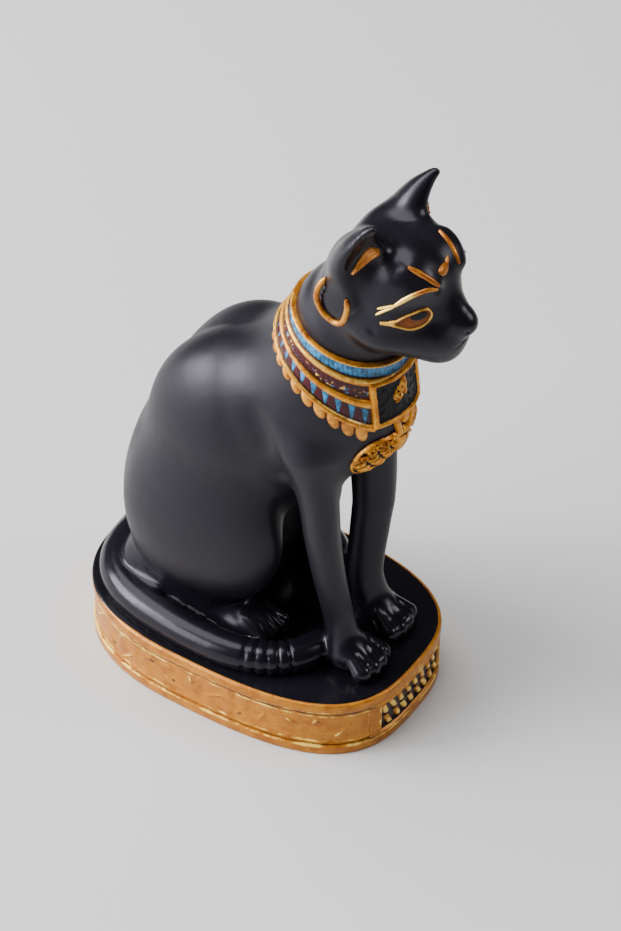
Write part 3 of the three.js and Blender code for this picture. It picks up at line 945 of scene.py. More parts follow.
def relief_material(name):
    """Gold where the piece's own gold attribute is 1, black paint where it is 0."""
    shader = Shader(name)
    gold, gold_rough, gold_normal = gold_coat(shader)
    black = shader.mix(shader.noise(900, 2, 0.5), paint("black", 0.3), paint("black"))
    level = shader.attribute("gold") + (shader.noise(900, 2, 0.5) - 0.5) * 0.35
    mask = shader.ramp(level, 0.38, 0.62)
    return shader.finish(
        {"Specular IOR Level": 0.18},
        Base_Color=shader.mix(mask, black, gold),
        Roughness=mask * gold_rough + (1 - mask) * 0.5,
        Metallic=mask * METAL,
        Normal=gold_normal,
    )


def set_attribute(obj, name, values):
    """Stores one number for each vertex."""
    layer = obj.data.attributes.new(name, "FLOAT", "POINT")
    layer.data.foreach_set("value", np.asarray(values, np.float32))


# Pieces


def make_cat():
    """The black cat: a merged copy of the casting, remeshed fine and drawn onto the full form."""
    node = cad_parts[NODE]
    deselect()
    obj = bpy.data.objects.new("cat_body", node.data.copy())
    bpy.context.scene.collection.objects.link(obj)
    enter_edit(obj)
    bpy.ops.mesh.remove_doubles(threshold=0.000002)
    leave_edit()
    add_lumps(obj)
    remesh = obj.modifiers.new("fine skin", "REMESH")
    remesh.mode = "VOXEL"
    remesh.voxel_size = sizes().skin_step
    bpy.ops.object.modifier_apply(modifier=remesh.name)
    enter_edit(obj)
    cut = to_scene((0, 0, FOOT_HEIGHT))
    bpy.ops.mesh.bisect(plane_co=cut, plane_no=(0, 0, 1), clear_inner=True, clear_outer=False)
    leave_edit()
    refine(obj)
    p = get_points(obj)
    foot = p[:, 2] < FOOT_HEIGHT + 0.05
    p = settle(p, cat)
    for _ in range(2):
        p = relax(obj, p)
        p = settle(p, cat, 3)
    # the open edge stays in its plane
    p[foot, 2] = FOOT_HEIGHT
    p[foot] = settle(p[foot], cat, 4, level=True)
    set_points(obj, p)
    close_foot(obj)
    finish_piece(obj, "cat_body", black_material())
    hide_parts(NODE)


def add_lumps(obj):
    """Joins balls at the toes and a tube at the tail's root to the casting, for the remesh to take up."""
    lumps = [obj]
    for places, side, back in (
        (FORE_TOES, -1, 0),
        (FORE_TOES, 1, LEFT_FORELEG_BACK),
        (RIGHT_HIND_TOES, 1, 0),
        (LEFT_HIND_TOES, 1, 0),
    ):
        first, last = places[3]
        for start, end in toe_lines(places):
            for share in TOE_BALLS:
                ball = (start + (end - start) * share) * [side, 1, 1] + [0, back, 0]
                radius = (first + (last - first) * share) * 0.001
                deselect()
                bpy.ops.mesh.primitive_ico_sphere_add(
                    subdivisions=3, radius=radius, location=to_scene(ball)
                )
                lumps.append(bpy.context.object)
    root = smooth_line(TAIL_ROOT, 10)
    lumps.append(tube(root[:, :3], root[:, 3]))
    join_pieces(lumps)


def tube(places, radii, resolution=12):
    """A round closed tube through places, with a radius at each."""
    deselect()
    curve = bpy.data.curves.new("tube", "CURVE")
    curve.dimensions = "3D"
    curve.bevel_depth = 0.001
    curve.bevel_resolution = resolution
    curve.use_fill_caps = True
    spline = curve.splines.new("POLY")
    spline.points.add(len(places) - 1)
    for point, place, radius in zip(spline.points, to_scene(places), radii):
        point.co = (*place, 1)
        point.radius = radius
    obj = bpy.data.objects.new("tube", curve)
    bpy.context.scene.collection.objects.link(obj)
    activate(obj)
    bpy.ops.object.convert(target="MESH")
    return bpy.context.object


def refine(obj):
    """Splits the faces of the face, the paws and the tail's grooves once more."""
    p = get_points(obj)
    face = (p[:, 2] > 95) & (p[:, 1] < -38)
    fore = (p[:, 2] < 9) & (p[:, 1] < -28) & (p[:, 1] > -41)
    hind = (p[:, 2] < 8) & (p[:, 1] < -5) & (p[:, 1] > -14) & (np.abs(p[:, 0] - 3) < 21)
    rings = (p[:, 2] > 1) & (p[:, 1] < -17) & (p[:, 1] > -25) & (p[:, 0] < -11)
    lobes = (p[:, 2] > 102) & (p[:, 2] < 116) & (p[:, 1] > -32) & (p[:, 1] < -20)
    lobes &= np.abs(p[:, 0]) > 10
    wanted = face | fore | hind | rings | lobes
    enter_edit(obj)
    bpy.ops.mesh.select_all(action="DESELECT")
    bm = bmesh.from_edit_mesh(obj.data)
    for polygon in bm.faces:
        polygon.select = all(wanted[v.index] for v in polygon.verts)
    bmesh.update_edit_mesh(obj.data)
    bpy.ops.mesh.subdivide(number_cuts=1)
    leave_edit()


def relax(obj, p):
    """Moves each vertex half way to the mean of its neighbours."""
    edges = np.empty(len(obj.data.edges) * 2, int)
    obj.data.edges.foreach_get("vertices", edges)
    a, b = edges.reshape(-1, 2).T
    total = np.zeros_like(p)
    count = np.zeros(len(p))
    np.add.at(total, a, p[b])
    np.add.at(total, b, p[a])
    np.add.at(count, a, 1)
    np.add.at(count, b, 1)
    mean = total / np.maximum(count, 1)[:, None]
    return p + 0.5 * (mean - p)


def close_foot(obj):
    """Carries the open lower edge of the cat down into the plinth and closes it."""
    enter_edit(obj)
    bpy.ops.mesh.select_all(action="DESELECT")
    bpy.ops.mesh.select_mode(type="EDGE")
    bpy.ops.mesh.select_non_manifold(
        extend=False, use_wire=False, use_boundary=True, use_multi_face=False,
        use_non_contiguous=False, use_verts=False,
    )
    bpy.ops.mesh.extrude_edges_move(TRANSFORM_OT_translate={"value": (0, 0, -FOOT_DEPTH * 0.001)})
    bpy.ops.mesh.edge_face_add()
    bpy.ops.mesh.select_mode(type="VERT")
    bpy.ops.mesh.select_all(action="SELECT")
    bpy.ops.mesh.normals_make_consistent(inside=False)
    leave_edit()


def collar_base(angle, share):
    """Places on the cat's skin under the collar, by angle round the neck and share of its drop."""
    low = np.full(len(angle), 2.0)
    high = np.full(len(angle), 28.0)
    front = np.mod(angle + math.pi / 2 + math.pi, 2 * math.pi) - math.pi
    under_panel = (front > PANEL_TURNS[0]) & (front < PANEL_TURNS[1]) & (share > MAROON)

    def at(radius):
        x = radius * np.cos(angle)
        y = COLLAR_AXIS_Y + radius * np.sin(angle)
        top = COLLAR_TOP[0] + COLLAR_TOP[1] * y
        bottom = COLLAR_LOW[0] + COLLAR_LOW[1] * y + COLLAR_LOW[2] * y * y
        knee = top + (bottom - top) * MAROON
        squeezed = knee + (PANEL_LOW + 1.5 - knee) * (share - MAROON) / (STRIP_END - MAROON)
        z = top + (bottom - top) * share
        return np.stack([x, y, np.where(under_panel, np.maximum(z, squeezed), z)], 1)

    for _ in range(22):
        middle = (low + high) / 2
        inside = skin(at(middle)) < 0
        low = np.where(inside, middle, low)
        high = np.where(inside, high, middle)
    return at(low)


def triangle_edge(pair, rise):
    """Negative inside a triangle of the collar, for numbers or shader values."""
    return pair - (0.12 + (1 - rise) * 0.5)


def collar_height(u, v):
    """Relief of the collar above the skin, in millimetres."""
    tick = np.abs((u * TICKS) % 1.0 - 0.5)
    groove = np.clip((tick - 0.36) / 0.14, 0, 1)
    enamel = 0.42 - 0.12 * groove
    pair = np.abs((u * TRIANGLE_PAIRS) % 1.0 - 0.5) * 2
    rise = (v - TRIANGLES) / (RIM_4 - TRIANGLES)
    triangles = 0.42 - 0.14 * np.clip(1 - np.abs(triangle_edge(pair, rise)) / 0.08, 0, 1)
    height = np.where(v > TRIANGLES, triangles, enamel)
    for low, high in ((RIM_1, BLUE), (RIM_2, MAROON), (RIM_3, TRIANGLES), (RIM_4, STRIP_END)):
        middle, half = (low + high) / 2, (high - low) / 2
        rim = 0.42 + 0.8 * dome((v - middle) / (half * 1.02))
        height = np.where(np.abs(v - middle) < half * 1.02, rim, height)
    return height * sizes().collar_relief


def make_collar():
    """The broad collar: a sheet bent round the neck with its bands raised."""
    obj, u, v = add_grid(560, 96)
    hem = 0.03
    share = np.clip((v - hem) / (1 - 2 * hem), 0, 1) * STRIP_END
    lift = collar_height(u, share)
    lift = np.where((v < hem) | (v > 1 - hem), -0.6, lift)
    front = 2 * math.pi * u - math.pi
    under_panel = (front > PANEL_TURNS[0] + 0.04) & (front < PANEL_TURNS[1] - 0.04) & (share > MAROON)
    lift = np.where(under_panel, np.minimum(lift, 0.2), lift)
    base = collar_base(front - math.pi / 2, share)
    out = normals_of(skin, base)
    set_points(obj, base + out * lift[:, None])
    uv = obj.data.uv_layers.active.data
    loops = np.empty(len(obj.data.loops), int)
    obj.data.loops.foreach_get("vertex_index", loops)
    uv.foreach_set("uv", np.stack([u[loops], share[loops]], 1).ravel())
    close_loop(obj)
    face_outward(obj, skin)
    finish_piece(obj, "collar", collar_material())


def make_drops():
    """The row of rounded gold drops under the collar, one modelled and the rest copied."""
    sheet, u, v = add_grid(16, 18)
    a, b = u * 2 - 1, v * 2 - 1
    # the lower half of the square becomes a half disc, the upper half stays straight
    low = np.maximum(b, 0)
    x = a * np.sqrt(1 - low * low / 2)
    y = np.where(b > 0, b * np.sqrt(1 - a * a / 2), b)
    lift = (1.15 * dome(np.hypot(x, np.maximum(y, 0)) * 0.94) ** 1.2 - 0.4) * sizes().collar_relief
    pieces = []
    for i in range(DROPS):
        centre = 2 * math.pi * (i + 0.5) / DROPS
        front = centre - math.pi
        if PANEL_TURNS[0] - 0.12 < front < PANEL_TURNS[1] + 0.12:
            continue
        obj = bpy.data.objects.new("drop", sheet.data.copy())
        bpy.context.scene.collection.objects.link(obj)
        base = collar_base(centre + math.pi / 2 + x * math.pi / DROPS * 0.95, 0.905 + y * 0.113)
        set_points(obj, base + normals_of(skin, base) * lift[:, None])
        face_outward(obj, skin)
        pieces.append(obj)
    bpy.data.objects.remove(sheet)
    finish_piece(join_pieces(pieces), "collar_drops", gold_material("drop_gold_paint"))


def outline_depth(a, b, outline):
    """Depth of flat places inside a closed outline, negative outside it."""
    pts = np.array(outline, float)
    depth = np.full(len(a), 1e9)
    inside = np.zeros(len(a), bool)
    for (x0, y0), (x1, y1) in zip(pts, np.roll(pts, -1, axis=0)):
        dx, dy = x1 - x0, y1 - y0
        t = np.clip(((a - x0) * dx + (b - y0) * dy) / (dx * dx + dy * dy), 0, 1)
        depth = np.minimum(depth, np.hypot(a - x0 - t * dx, b - y0 - t * dy))
        crossed = (y0 > b) != (y1 > b)
        cut = x0 + (b - y0) * dx / np.where(dy == 0, 1e-9, dy)
        inside ^= crossed & (a < cut)
    return np.where(inside, depth, -depth)


def rounded(outline, steps=5):
    """A closed outline with its corners smoothed."""
    pts = np.array(outline, float)
    wrapped = np.vstack([pts[-2:], pts, pts[:2]])
    line = smooth_line(np.column_stack([wrapped, np.zeros(len(wrapped))]), steps)
    return line[2 * steps : (2 + len(pts)) * steps, :2]


def skin_patch(columns, rows, middle, along, up, width, height):
    """A grid laid on the cat's skin: the object, flat places on it, skin points and normals."""
    obj, u, v = add_grid(columns, rows)
    a, b = (u - 0.5) * width, (v - 0.5) * height
    along, up = np.array(along, float), np.array(up, float)
    along /= np.linalg.norm(along)
    up -= (up @ along) * along
    up /= np.linalg.norm(up)
    flat = np.array(middle, float) + a[:, None] * along + b[:, None] * up
    base = settle(flat, cat, 8)
    return obj, a, b, base, normals_of(cat, base)


def make_eyes():
    """The painted eyes: pale raised rim, copper inside and a black pupil."""
    pieces = []
    outline = rounded(EYE_OUTLINE)
    for side in (1, -1):
        turn = np.array([side, 1, 1])
        middle = (EYE_CENTRE - EYE_SHIFT * EYE_AXIS) * turn
        obj, a, b, base, out = skin_patch(130, 56, middle, EYE_AXIS * turn, EYE_UP * turn, *EYE_SHEET)
        a = a - EYE_SHIFT
        depth = outline_depth(a, b, outline)
        rim = np.clip(1.5 - np.abs(depth - 0.25) / 0.2, 0, 1)
        rim = np.maximum(rim, np.clip((-3.9 - a) * 2, 0, 1))
        from_pupil = np.hypot((a - PUPIL[0]) / PUPIL[2], (b - PUPIL[1]) / PUPIL[3])
        pupil = np.clip((1 - from_pupil) * 4, 0, 1)
        lift = np.where(depth < 0, -0.3, 0.12 + 0.36 * rim + 0.16 * pupil)
        set_points(obj, base + out * lift[:, None])
        set_attribute(obj, "rim", rim)
        set_attribute(obj, "pupil", pupil)
        face_outward(obj)
        pieces.append(obj)
    finish_piece(join_pieces(pieces), "eyes", eye_material())


def make_forehead_ornament():
    """The round gold mark on the forehead with its smaller lobe."""
    obj, a, b, base, out = skin_patch(60, 60, FOREHEAD_MARK, (1, 0.1, 0), (0, -0.4, 1), 6.4, 6.4)
    disc = dome(np.hypot((a + 0.7) / 2.0, (b + 0.4) / (1.75 + 0.5 * (b < -0.4))))
    lobe = dome(np.hypot((a - 1.2 - 0.25 * b) / 0.6, (b - 0.9) / 1.9))
    lift = np.maximum(disc, lobe) ** 0.6 * 0.55 - 0.1
    set_points(obj, base + out * lift[:, None])
    face_outward(obj)
    return obj


def make_ear_marks():
    """A streaked gold triangle inside each ear."""
    pieces = []
    foot, top_a, top_b = (np.array(x, float) for x in EAR_MARK)
    for side in (-1, 1):
        turn = np.array([-side, 1, 1])
        middle = (foot + (top_a + top_b) / 2) / 2
        rise = (top_a + top_b) / 2 - foot
        width = np.linalg.norm(top_b - top_a) * (1.0 if side > 0 else 0.6)
        length = np.linalg.norm(rise)
        obj, a, b, base, out = skin_patch(
            50, 80, middle * turn, (top_b - top_a) * turn, rise * turn, width + 1.6, length + 1.6
        )
        outline = (
            (-0.3, -length / 2), (0.3, -length / 2), (width / 2, length / 2 - 0.5),
            (0.1 * width, length / 2 + 0.4), (-width / 2, length / 2),
        )
        depth = outline_depth(a, b, outline)
        streak = 0.5 + 0.5 * np.cos(a * 9 / (0.6 + (b + length / 2) / length))
        lift = 0.16 + 0.3 * np.clip(depth / 0.4, 0, 1) + 0.13 * streak
        lift = np.where(depth < 0, -0.25, lift)
        set_points(obj, base + out * lift[:, None])
        face_outward(obj)
        pieces.append(obj)
    finish_piece(join_pieces(pieces), "ear_marks", gold_material("ear_gold_paint", 1.3))


def front_skin(x, z):
    """Places on the chest seen from in front, by distance from the middle and height."""
    low = np.full(len(x), -60.0)
    high = np.full(len(x), -12.0)
    for _ in range(22):
        middle = (low + high) / 2
        inside = skin(np.stack([x, middle, z], 1)) < 0
        high = np.where(inside, middle, high)
        low = np.where(inside, low, middle)
    return np.stack([x, high, z], 1)


def make_panel():
    """The framed breast panel below the collar's second rim."""
    obj, u, v = add_grid(130, 100)
    half = sizes().panel_width * 500
    x = (u * 2 - 1) * half
    tall = PANEL_HIGH - PANEL_LOW
    base = front_skin(x + PANEL_X, PANEL_LOW + v * tall)
    out = normals_of(skin, base)
    w = (v - 0.5) * tall
    edge = np.minimum(np.minimum(u, 1 - u) * 2 * half, np.minimum(v, 1 - v) * tall)
    frame_ridge = dome((edge - 0.62) / 0.62)
    field = edge > 1.15
    rng = np.random.default_rng(3)
    hatch = np.zeros(len(x))
    for _ in range(PANEL_HATCHES):
        cx, cw = rng.uniform(-6.5, 6.5), rng.uniform(-5, 5)
        lean, reach = rng.uniform(-0.25, 0.25), rng.uniform(0.3, 0.7)
        across = (x - cx) - lean * (w - cw)
        hatch = np.maximum(hatch, dome(across / 0.2) * dome((w - cw) / reach))
    motif = np.zeros(len(x))
    for cx, cw, rx, rw, lean in PANEL_MOTIF:
        across = (w - cw) - lean * (x - cx)
        motif = np.maximum(motif, dome(np.hypot((x - cx) / rx, across / rw)))
    for cx, cw in PANEL_HOLES:
        motif = motif * (np.hypot(x - cx, w - cw) > 0.38)
    broken = rng.random(len(x)) > 0.2
    gold = np.where(field, np.clip(motif * 4, 0, 1) + 0.42 * hatch * broken, 1.0)
    lift = np.where(field, 1.0 + 0.2 * hatch + 0.45 * motif, 1.05 + 0.75 * frame_ridge)
    lift = np.where(edge < 0.1, -0.5, lift)
    set_points(obj, base + out * (lift * sizes().collar_relief)[:, None])
    set_attribute(obj, "gold", gold)
    face_outward(obj, skin)
    finish_piece(obj, "breast_panel", relief_material("panel_paint"))


def make_scarab():
    """The winged scarab on the chest, low relief whose sheet dips under the skin round it."""
    obj, u, v = add_grid(190, 150)
    a = (u * 2 - 1) * SCARAB_REACH
    b = SCARAB_LOW + v * SCARAB_TALL
    side = np.abs(a)
    depth = outline_depth(side, b, rounded(WING_OUTLINE))
    turn = np.arctan2(b - 71.5, side + 0.5)
    far = np.hypot(b - 71.5, side + 0.5)
    feather = dome(((turn * 5.2) % 1.0 - 0.5) / 0.42)
    bead = dome((((far + 1.1 * turn) / 2.6) % 1.0 - 0.5) / 0.46)
    carved = (depth > 0.35) & (far > 4.2)
    wing_height = np.where(depth > 0, 0.75 + 0.25 * np.clip(depth / 0.3, 0, 1), -0.4)
    wing_height = np.where(carved, 0.45 + 0.85 * feather * bead, wing_height)
    dots = np.zeros(len(a), bool)
    for x, z in WING_DOTS:
        ring = np.hypot(side - x, b - z)
        edge = 1.35 - 0.9 * np.clip((ring - 0.6) / 0.4, 0, 1)
        wing_height = np.where(ring < 1.0, edge, wing_height)
        dots |= ring < 0.42
    wing_height = wing_height - 0.8 * dots
    open_ground = carved & (feather * bead < 0.35)
    body = dome(np.hypot(a / 2.3, (b - 67.0) / 3.7))
    body_height = np.where(body > 0, 0.6 + 1.1 * body, -0.4)
    disc = dome(np.hypot(a / 1.3, (b - 73.4) / 1.3))
    disc_height = np.where(disc > 0, 0.6 + 0.6 * disc, -0.4)
    middle = 0.9 + (b - 68.0) * 0.32
    leg = dome((side - middle) / 0.75) * (b > 66.5) * (b < 75.4)
    leg_height = np.where(leg > 0, 0.6 + 0.7 * leg, -0.4)
    lift = np.maximum.reduce([wing_height, body_height, disc_height, leg_height])
    seam = (side < 0.2) & (b < 69) & (body > 0)
    neck = (np.abs(b - 69.2) < 0.25) & (body > 0)
    lift = np.where(seam | neck, lift - 0.35, lift)
    gold = np.where(lift > 0, 1.0, 0.0)
    bare = open_ground & (wing_height < 0.9) & (body <= 0) & (leg <= 0) & (disc <= 0)
    gold = np.where(bare, 0.1, gold)
    gold = np.where(dots | seam | neck, 0.0, gold)
    base = front_skin(a, b)
    out = normals_of(skin, base)
    set_points(obj, base + out * (lift * sizes().collar_relief)[:, None])
    set_attribute(obj, "gold", gold)
    face_outward(obj, skin)
    finish_piece(obj, "winged_scarab", relief_material("scarab_paint"))


def surface_band(points, width, height, steps=60, across=9, taper=0.25):
    """A raised painted line that lies on the skin along points."""
    line = even_line(smooth_line(points, 12), steps)
    line = settle(line, cat, 6)
    out = normals_of(cat, line)
    along = np.gradient(line, axis=0)
    along /= np.linalg.norm(along, axis=1)[:, None]
    side = np.cross(out, along)
    side /= np.linalg.norm(side, axis=1)[:, None]
    obj, u, v = add_grid(steps - 1, across - 1)
    i = np.round(u * (steps - 1)).astype(int)
    t = v * 2 - 1
    ends = np.minimum(u, 1 - u) / taper
    narrow = np.clip(ends, 0, 1) ** 0.5 * 0.65 + 0.35
    reach = width / 2 * narrow
    base = line[i] + side[i] * (t * reach)[:, None]
    base = settle(base, cat, 4)
    normal = normals_of(cat, base)
    lift = height * dome(t * 0.98) - 0.12
    lift = np.where((u < 1e-4) | (u > 1 - 1e-4), -0.15, lift)
    set_points(obj, base + normal * lift[:, None])
    face_outward(obj)
    return obj


def join_pieces(pieces):
    """Joins piece objects into one."""
    deselect()
    for obj in pieces:
        obj.select_set(True)
    bpy.context.view_layer.objects.active = pieces[0]
    bpy.ops.object.join()
    return bpy.context.object


def make_face_lines():
    """Gold brow and lid lines and the mark between them."""
    pieces = [make_forehead_ornament()]
    set_attribute(pieces[0], "pale", np.zeros(len(pieces[0].data.vertices)))
    for line, width, pale in FACE_LINES:
        obj = surface_band(line, width, 0.5)
        outer = np.array(line, float)[0]
        far = np.linalg.norm(get_points(obj) - outer, axis=1)
        # painted highlight: the gold line turns pale towards its outer end
        set_attribute(obj, "pale", pale * np.clip(1.4 - far / 6.5, 0, 1))
        pieces.append(obj)
    finish_piece(join_pieces(pieces), "face_lines", line_material())


def make_earrings():
    """A gold hoop in the foot of each ear."""
    steps = np.arange(HOOP_STEPS)
    taper = np.clip(np.minimum(steps, steps[::-1]) / 3, 0, 1)
    radii = HOOP_RADIUS * np.sqrt(0.25 + 0.75 * taper)
    path = even_line(smooth_line(EARRING, 8), HOOP_STEPS)
    pieces = [tube(path * [side, 1, 1], radii, 4) for side in (-1, 1)]
    finish_piece(join_pieces(pieces), "earrings", gold_material("earring_gold_paint", 0.5))


def plinth_outline(count):
    """Points of the plinth's outline, seen from above, starting at the middle of the front."""
    s = sizes()
    width, length = s.plinth_width * 1000, s.plinth_length * 1000
    widest = s.plinth_widest * 1000
    a = np.linspace(0, 2 * math.pi, count, endpoint=False) - math.pi / 2
    across, along = np.cos(a), np.sin(a)
    power = np.where(along < 0, s.plinth_front_power, s.plinth_back_power)
    reach = length / 2 - np.sign(along) * widest
    x = width / 2 * np.sign(across) * np.abs(across) ** (2 / power)
    y = widest + reach * np.sign(along) * np.abs(along) ** (2 / power)
    return np.stack([x, y], 1)


def even_outline(count):
    """The same outline with points at even spacing, and its length."""
    fine = plinth_outline(2880)
    loop = np.vstack([fine, fine[:1]])
    run = np.concatenate([[0], np.cumsum(np.linalg.norm(np.diff(loop, axis=0), axis=1))])
    s = np.linspace(0, run[-1], count, endpoint=False)
    return np.stack([np.interp(s, run, loop[:, k]) for k in range(2)], 1), run[-1]


def plinth_material(name):
    """Tan gold, black where the gold attribute is 0, with pale glints along the lips."""
    shader = Shader(name)
    gold, gold_rough, gold_normal = gold_coat(shader, "plinth_deep", "plinth_gold", 0.12)
    black, black_rough, _ = black_coat(shader)
    broken = shader.noise(230, 3, 0.6)
    glint = shader.ramp(shader.attribute("glint") + (broken - 0.5) * 2.6, 0.45, 0.85)
    drawn = shader.node(
        "ShaderNodeVectorMath", {"operation": "MULTIPLY"}, {0: shader.place(), 1: (1.0, 1.0, 7.0)}
    )
    streak = shader.ramp(shader.noise(95, 4, 0.6, at=shader.out(drawn)), 0.5, 0.72)
    gold = shader.mix(streak * 0.4, gold, paint("gold"))
    gold = shader.mix(glint * 0.9, gold, paint("pale_gold"))
    level = shader.attribute("gold") + (shader.noise(350, 3, 0.6) - 0.5) * 0.5
    mask = shader.ramp(level, 0.4, 0.55)
    return shader.finish(
        {"Specular IOR Level": 0.3},
        Base_Color=shader.mix(mask, black, gold),
        Roughness=mask * gold_rough + (1 - mask) * (black_rough - 0.05),
        Metallic=mask * 0.3,
        Normal=gold_normal,
    )


def plinth_profile(height, lip, depth):
    """Inset, height and share of glint of each ring of the plinth, from the ground up."""
    groove = depth + 0.8
    upper = height - lip
    return (
        (0.35, 0, 0), (0.1, 0.12, 0), (0, 0.35, 0), (0, lip - 0.5, 0.1), (0.02, lip - 0.2, 0.75),
        (0.12, lip, 0.75), (groove, lip + 0.3, 0), (groove, upper - 0.3, 0), (0.12, upper, 0.6),
        (0.02, upper + 0.2, 0.6), (0, upper + 0.5, 0.1), (0, height - 0.7, 0),
        (0.12, height - 0.32, 0.1), (0.35, height - 0.08, 0.2), (0.55, height, 0.1), (0.75, height, 0),
        (0.95, height, 0), (1.5, height, 0), (3, height, 0), (12, height, 0),
    )


def make_plinth():
    """The plinth: its outline drawn out upwards ring by ring, with the sides' sunk band."""
    s = sizes()
    height = s.plinth_height * 1000
    profile = plinth_profile(height, s.plinth_lip * 1000, s.plinth_band_depth * 1000)
    count = PLINTH_STEPS
    deselect()
    bpy.ops.mesh.primitive_circle_add(vertices=count, radius=0.02, fill_type="NGON")
    obj = bpy.context.object
    enter_edit(obj)
    for _ in profile[1:]:
        bpy.ops.mesh.extrude_region_move(TRANSFORM_OT_translate={"value": (0, 0, 0.001)})
    leave_edit()
    level = np.array([round(v.co.z * 1000) for v in obj.data.vertices])
    turn = np.array([math.atan2(v.co.y, v.co.x) for v in obj.data.vertices])
    index = np.round(turn / (2 * math.pi) * count).astype(int)
    outline, _ = even_outline(count)
    points = np.zeros((len(level), 3))
    mask = np.ones(len(level))
    glint = np.zeros(len(level))
    for ring, (inset, z, shine) in enumerate(profile):
        inner = outline * [1 - inset / (s.plinth_width * 500), 1 - inset / (s.plinth_length * 500)]
        here = level == ring
        k = (index[here] + count // 4) % count
        points[here] = np.column_stack([inner[k], np.full(here.sum(), z - height)])
        glint[here] = shine
        if ring >= TOP_RING:
            # the black of the top comes nearer to the edge at the back
            limit = 0.8 - 0.75 * np.clip((inner[k][:, 1] - 18) / 14, 0, 1)
            mask[here] = np.clip((limit - inset) / 0.25 + 0.5, 0, 1)
    set_points(obj, points)
    set_attribute(obj, "gold", mask)
    set_attribute(obj, "glint", glint)
    enter_edit(obj)
    bpy.ops.mesh.normals_make_consistent(inside=False)
    leave_edit()
    finish_piece(obj, "plinth", plinth_material("plinth_paint"), smooth=False)
    activate(obj)
    bpy.ops.object.shade_smooth_by_angle(angle=math.radians(35))
    deselect()


def stroke_rows(s, z):
    """Two rows of short slanting strokes for the front panel, from 0 to 1."""
    out = np.zeros(len(s))
    rng = np.random.default_rng(7)
    for middle, shift in STROKE_ROWS:
        for k in range(STROKES):
            centre = (k - 3.75) * STROKE_STEP + shift + rng.uniform(-0.2, 0.2)
            lean = -0.5 + rng.uniform(-0.15, 0.15)
            half = rng.uniform(1.2, 1.6)
            x = s - centre - (z - middle) * lean
            out = np.maximum(out, dome(x / 0.85) * dome((z - middle) / half) ** 0.5)
    return out


def side_marks(s, z):
    """Faint shallow strokes in rows along the plinth's sides, and small black spots of painted shade
    between them.
    """
    marks = np.zeros(len(s))
    shade_specks = np.zeros(len(s))
    rng = np.random.default_rng(19)
    for centre in np.arange(*SIDE_MARKS):
        middle = SIDE_MIDDLE + rng.uniform(-2.2, 2.2)
        half = rng.uniform(0.7, 1.9)
        lean = rng.uniform(-2.0, 2.0)
        x = s - centre - (z - middle) * lean
        reach = dome((z - middle) / half)
        marks = np.maximum(marks, dome(x / (0.42 * math.hypot(1, lean))) * reach)
        # a small black spot of painted shade beside the stroke
        if rng.random() < 0.6:
            cx, cz = centre + rng.uniform(0.6, 1.1) * (1 + abs(lean) * 0.5), middle
            x = (s - cx) + (z - cz) * rng.uniform(-0.8, 0.8)
            speck = dome(np.hypot(x / rng.uniform(0.3, 1.0), (z - cz) / 0.32))
            shade_specks = np.maximum(shade_specks, speck)
    return marks, shade_specks


def make_band():
    """The sunk band round the plinth with its framed front panel and faint side strokes."""
    height = sizes().plinth_height * 1000
    lip = sizes().plinth_lip * 1000
    depth = -sizes().plinth_band_depth * 1000
    count = BAND_STEPS
    obj, u, v = add_grid(count, 48)
    outline, around = even_outline(count)
    run = u * around
    i = np.round(u * count).astype(int) % count
    tangent = outline[(i + 1) % count] - outline[(i - 1) % count]
    tangent /= np.linalg.norm(tangent, axis=1)[:, None]
    out = np.stack([tangent[:, 1], -tangent[:, 0]], 1)
    z = -height + lip - 0.1 + v * (height - 2 * lip + 0.2)
    from_front = np.where(run > around / 2, run - around, run)
    half_height = (height - 2 * lip) / 2
    middle = -height / 2
    # front panel: frame, black ground and raised strokes
    edge = np.minimum(PANEL_REACH - np.abs(from_front), half_height - 0.1 - np.abs(z - middle))
    rim = dome((edge - 0.5) / 0.5) * (edge > 0)
    inside = edge > 0.95
    strokes = stroke_rows(from_front, z) * inside
    # sides: a thin border line, marks and spots of painted shade
    marks, shade_specks = side_marks(run, z)
    on_side = np.abs(from_front) > PANEL_REACH + 4
    side_edge = np.minimum(
        np.abs(from_front) - PANEL_REACH - 2.2, half_height - 1.0 - np.abs(z - middle)
    )
    border = dome((side_edge - 0.3) / 0.3) * (side_edge > 0)
    wave = 0.05 * np.sin(run * 0.9 + 3 * np.sin(run * 0.23))
    lift = depth + wave + 0.2 * border + 0.22 * marks * on_side
    lift = np.where(np.abs(from_front) < PANEL_REACH + 2.2, np.maximum(lift, -0.12), lift)
    lift = np.where(edge > 0, np.maximum(lift, -0.12 + 0.25 * rim), lift)
    lift = np.where(inside, depth - 0.35 + 0.75 * np.sqrt(strokes), lift)
    # painted shade: black lines under the top lip and along the foot of the lower lip, outside the front
    # panel
    under_lip = dome((half_height - 0.65 - (z - middle)) / 0.3)
    above_lip = dome((half_height - 0.15 + (z - middle)) / 0.35)
    lip_shade = np.maximum(under_lip, above_lip) * (np.abs(from_front) > PANEL_REACH + 1)
    gold = 1.0 - 0.72 * lip_shade - shade_specks * on_side
    gold = np.where(edge > 0, 1.0, gold)
    gold = np.where(inside, np.clip(strokes * 3, 0, 1), gold)
    xy = outline[i] + out * lift[:, None]
    set_points(obj, np.column_stack([xy, z]))
    set_attribute(obj, "gold", gold)
    glint = np.maximum(0.65 * border, 0.6 * marks * on_side)
    glint = np.where(edge > 0, 0.5 * rim, glint)
    set_attribute(obj, "glint", np.where(inside, strokes, glint))
    close_loop(obj)
    finish_piece(obj, "plinth_band", plinth_material("band_paint"))


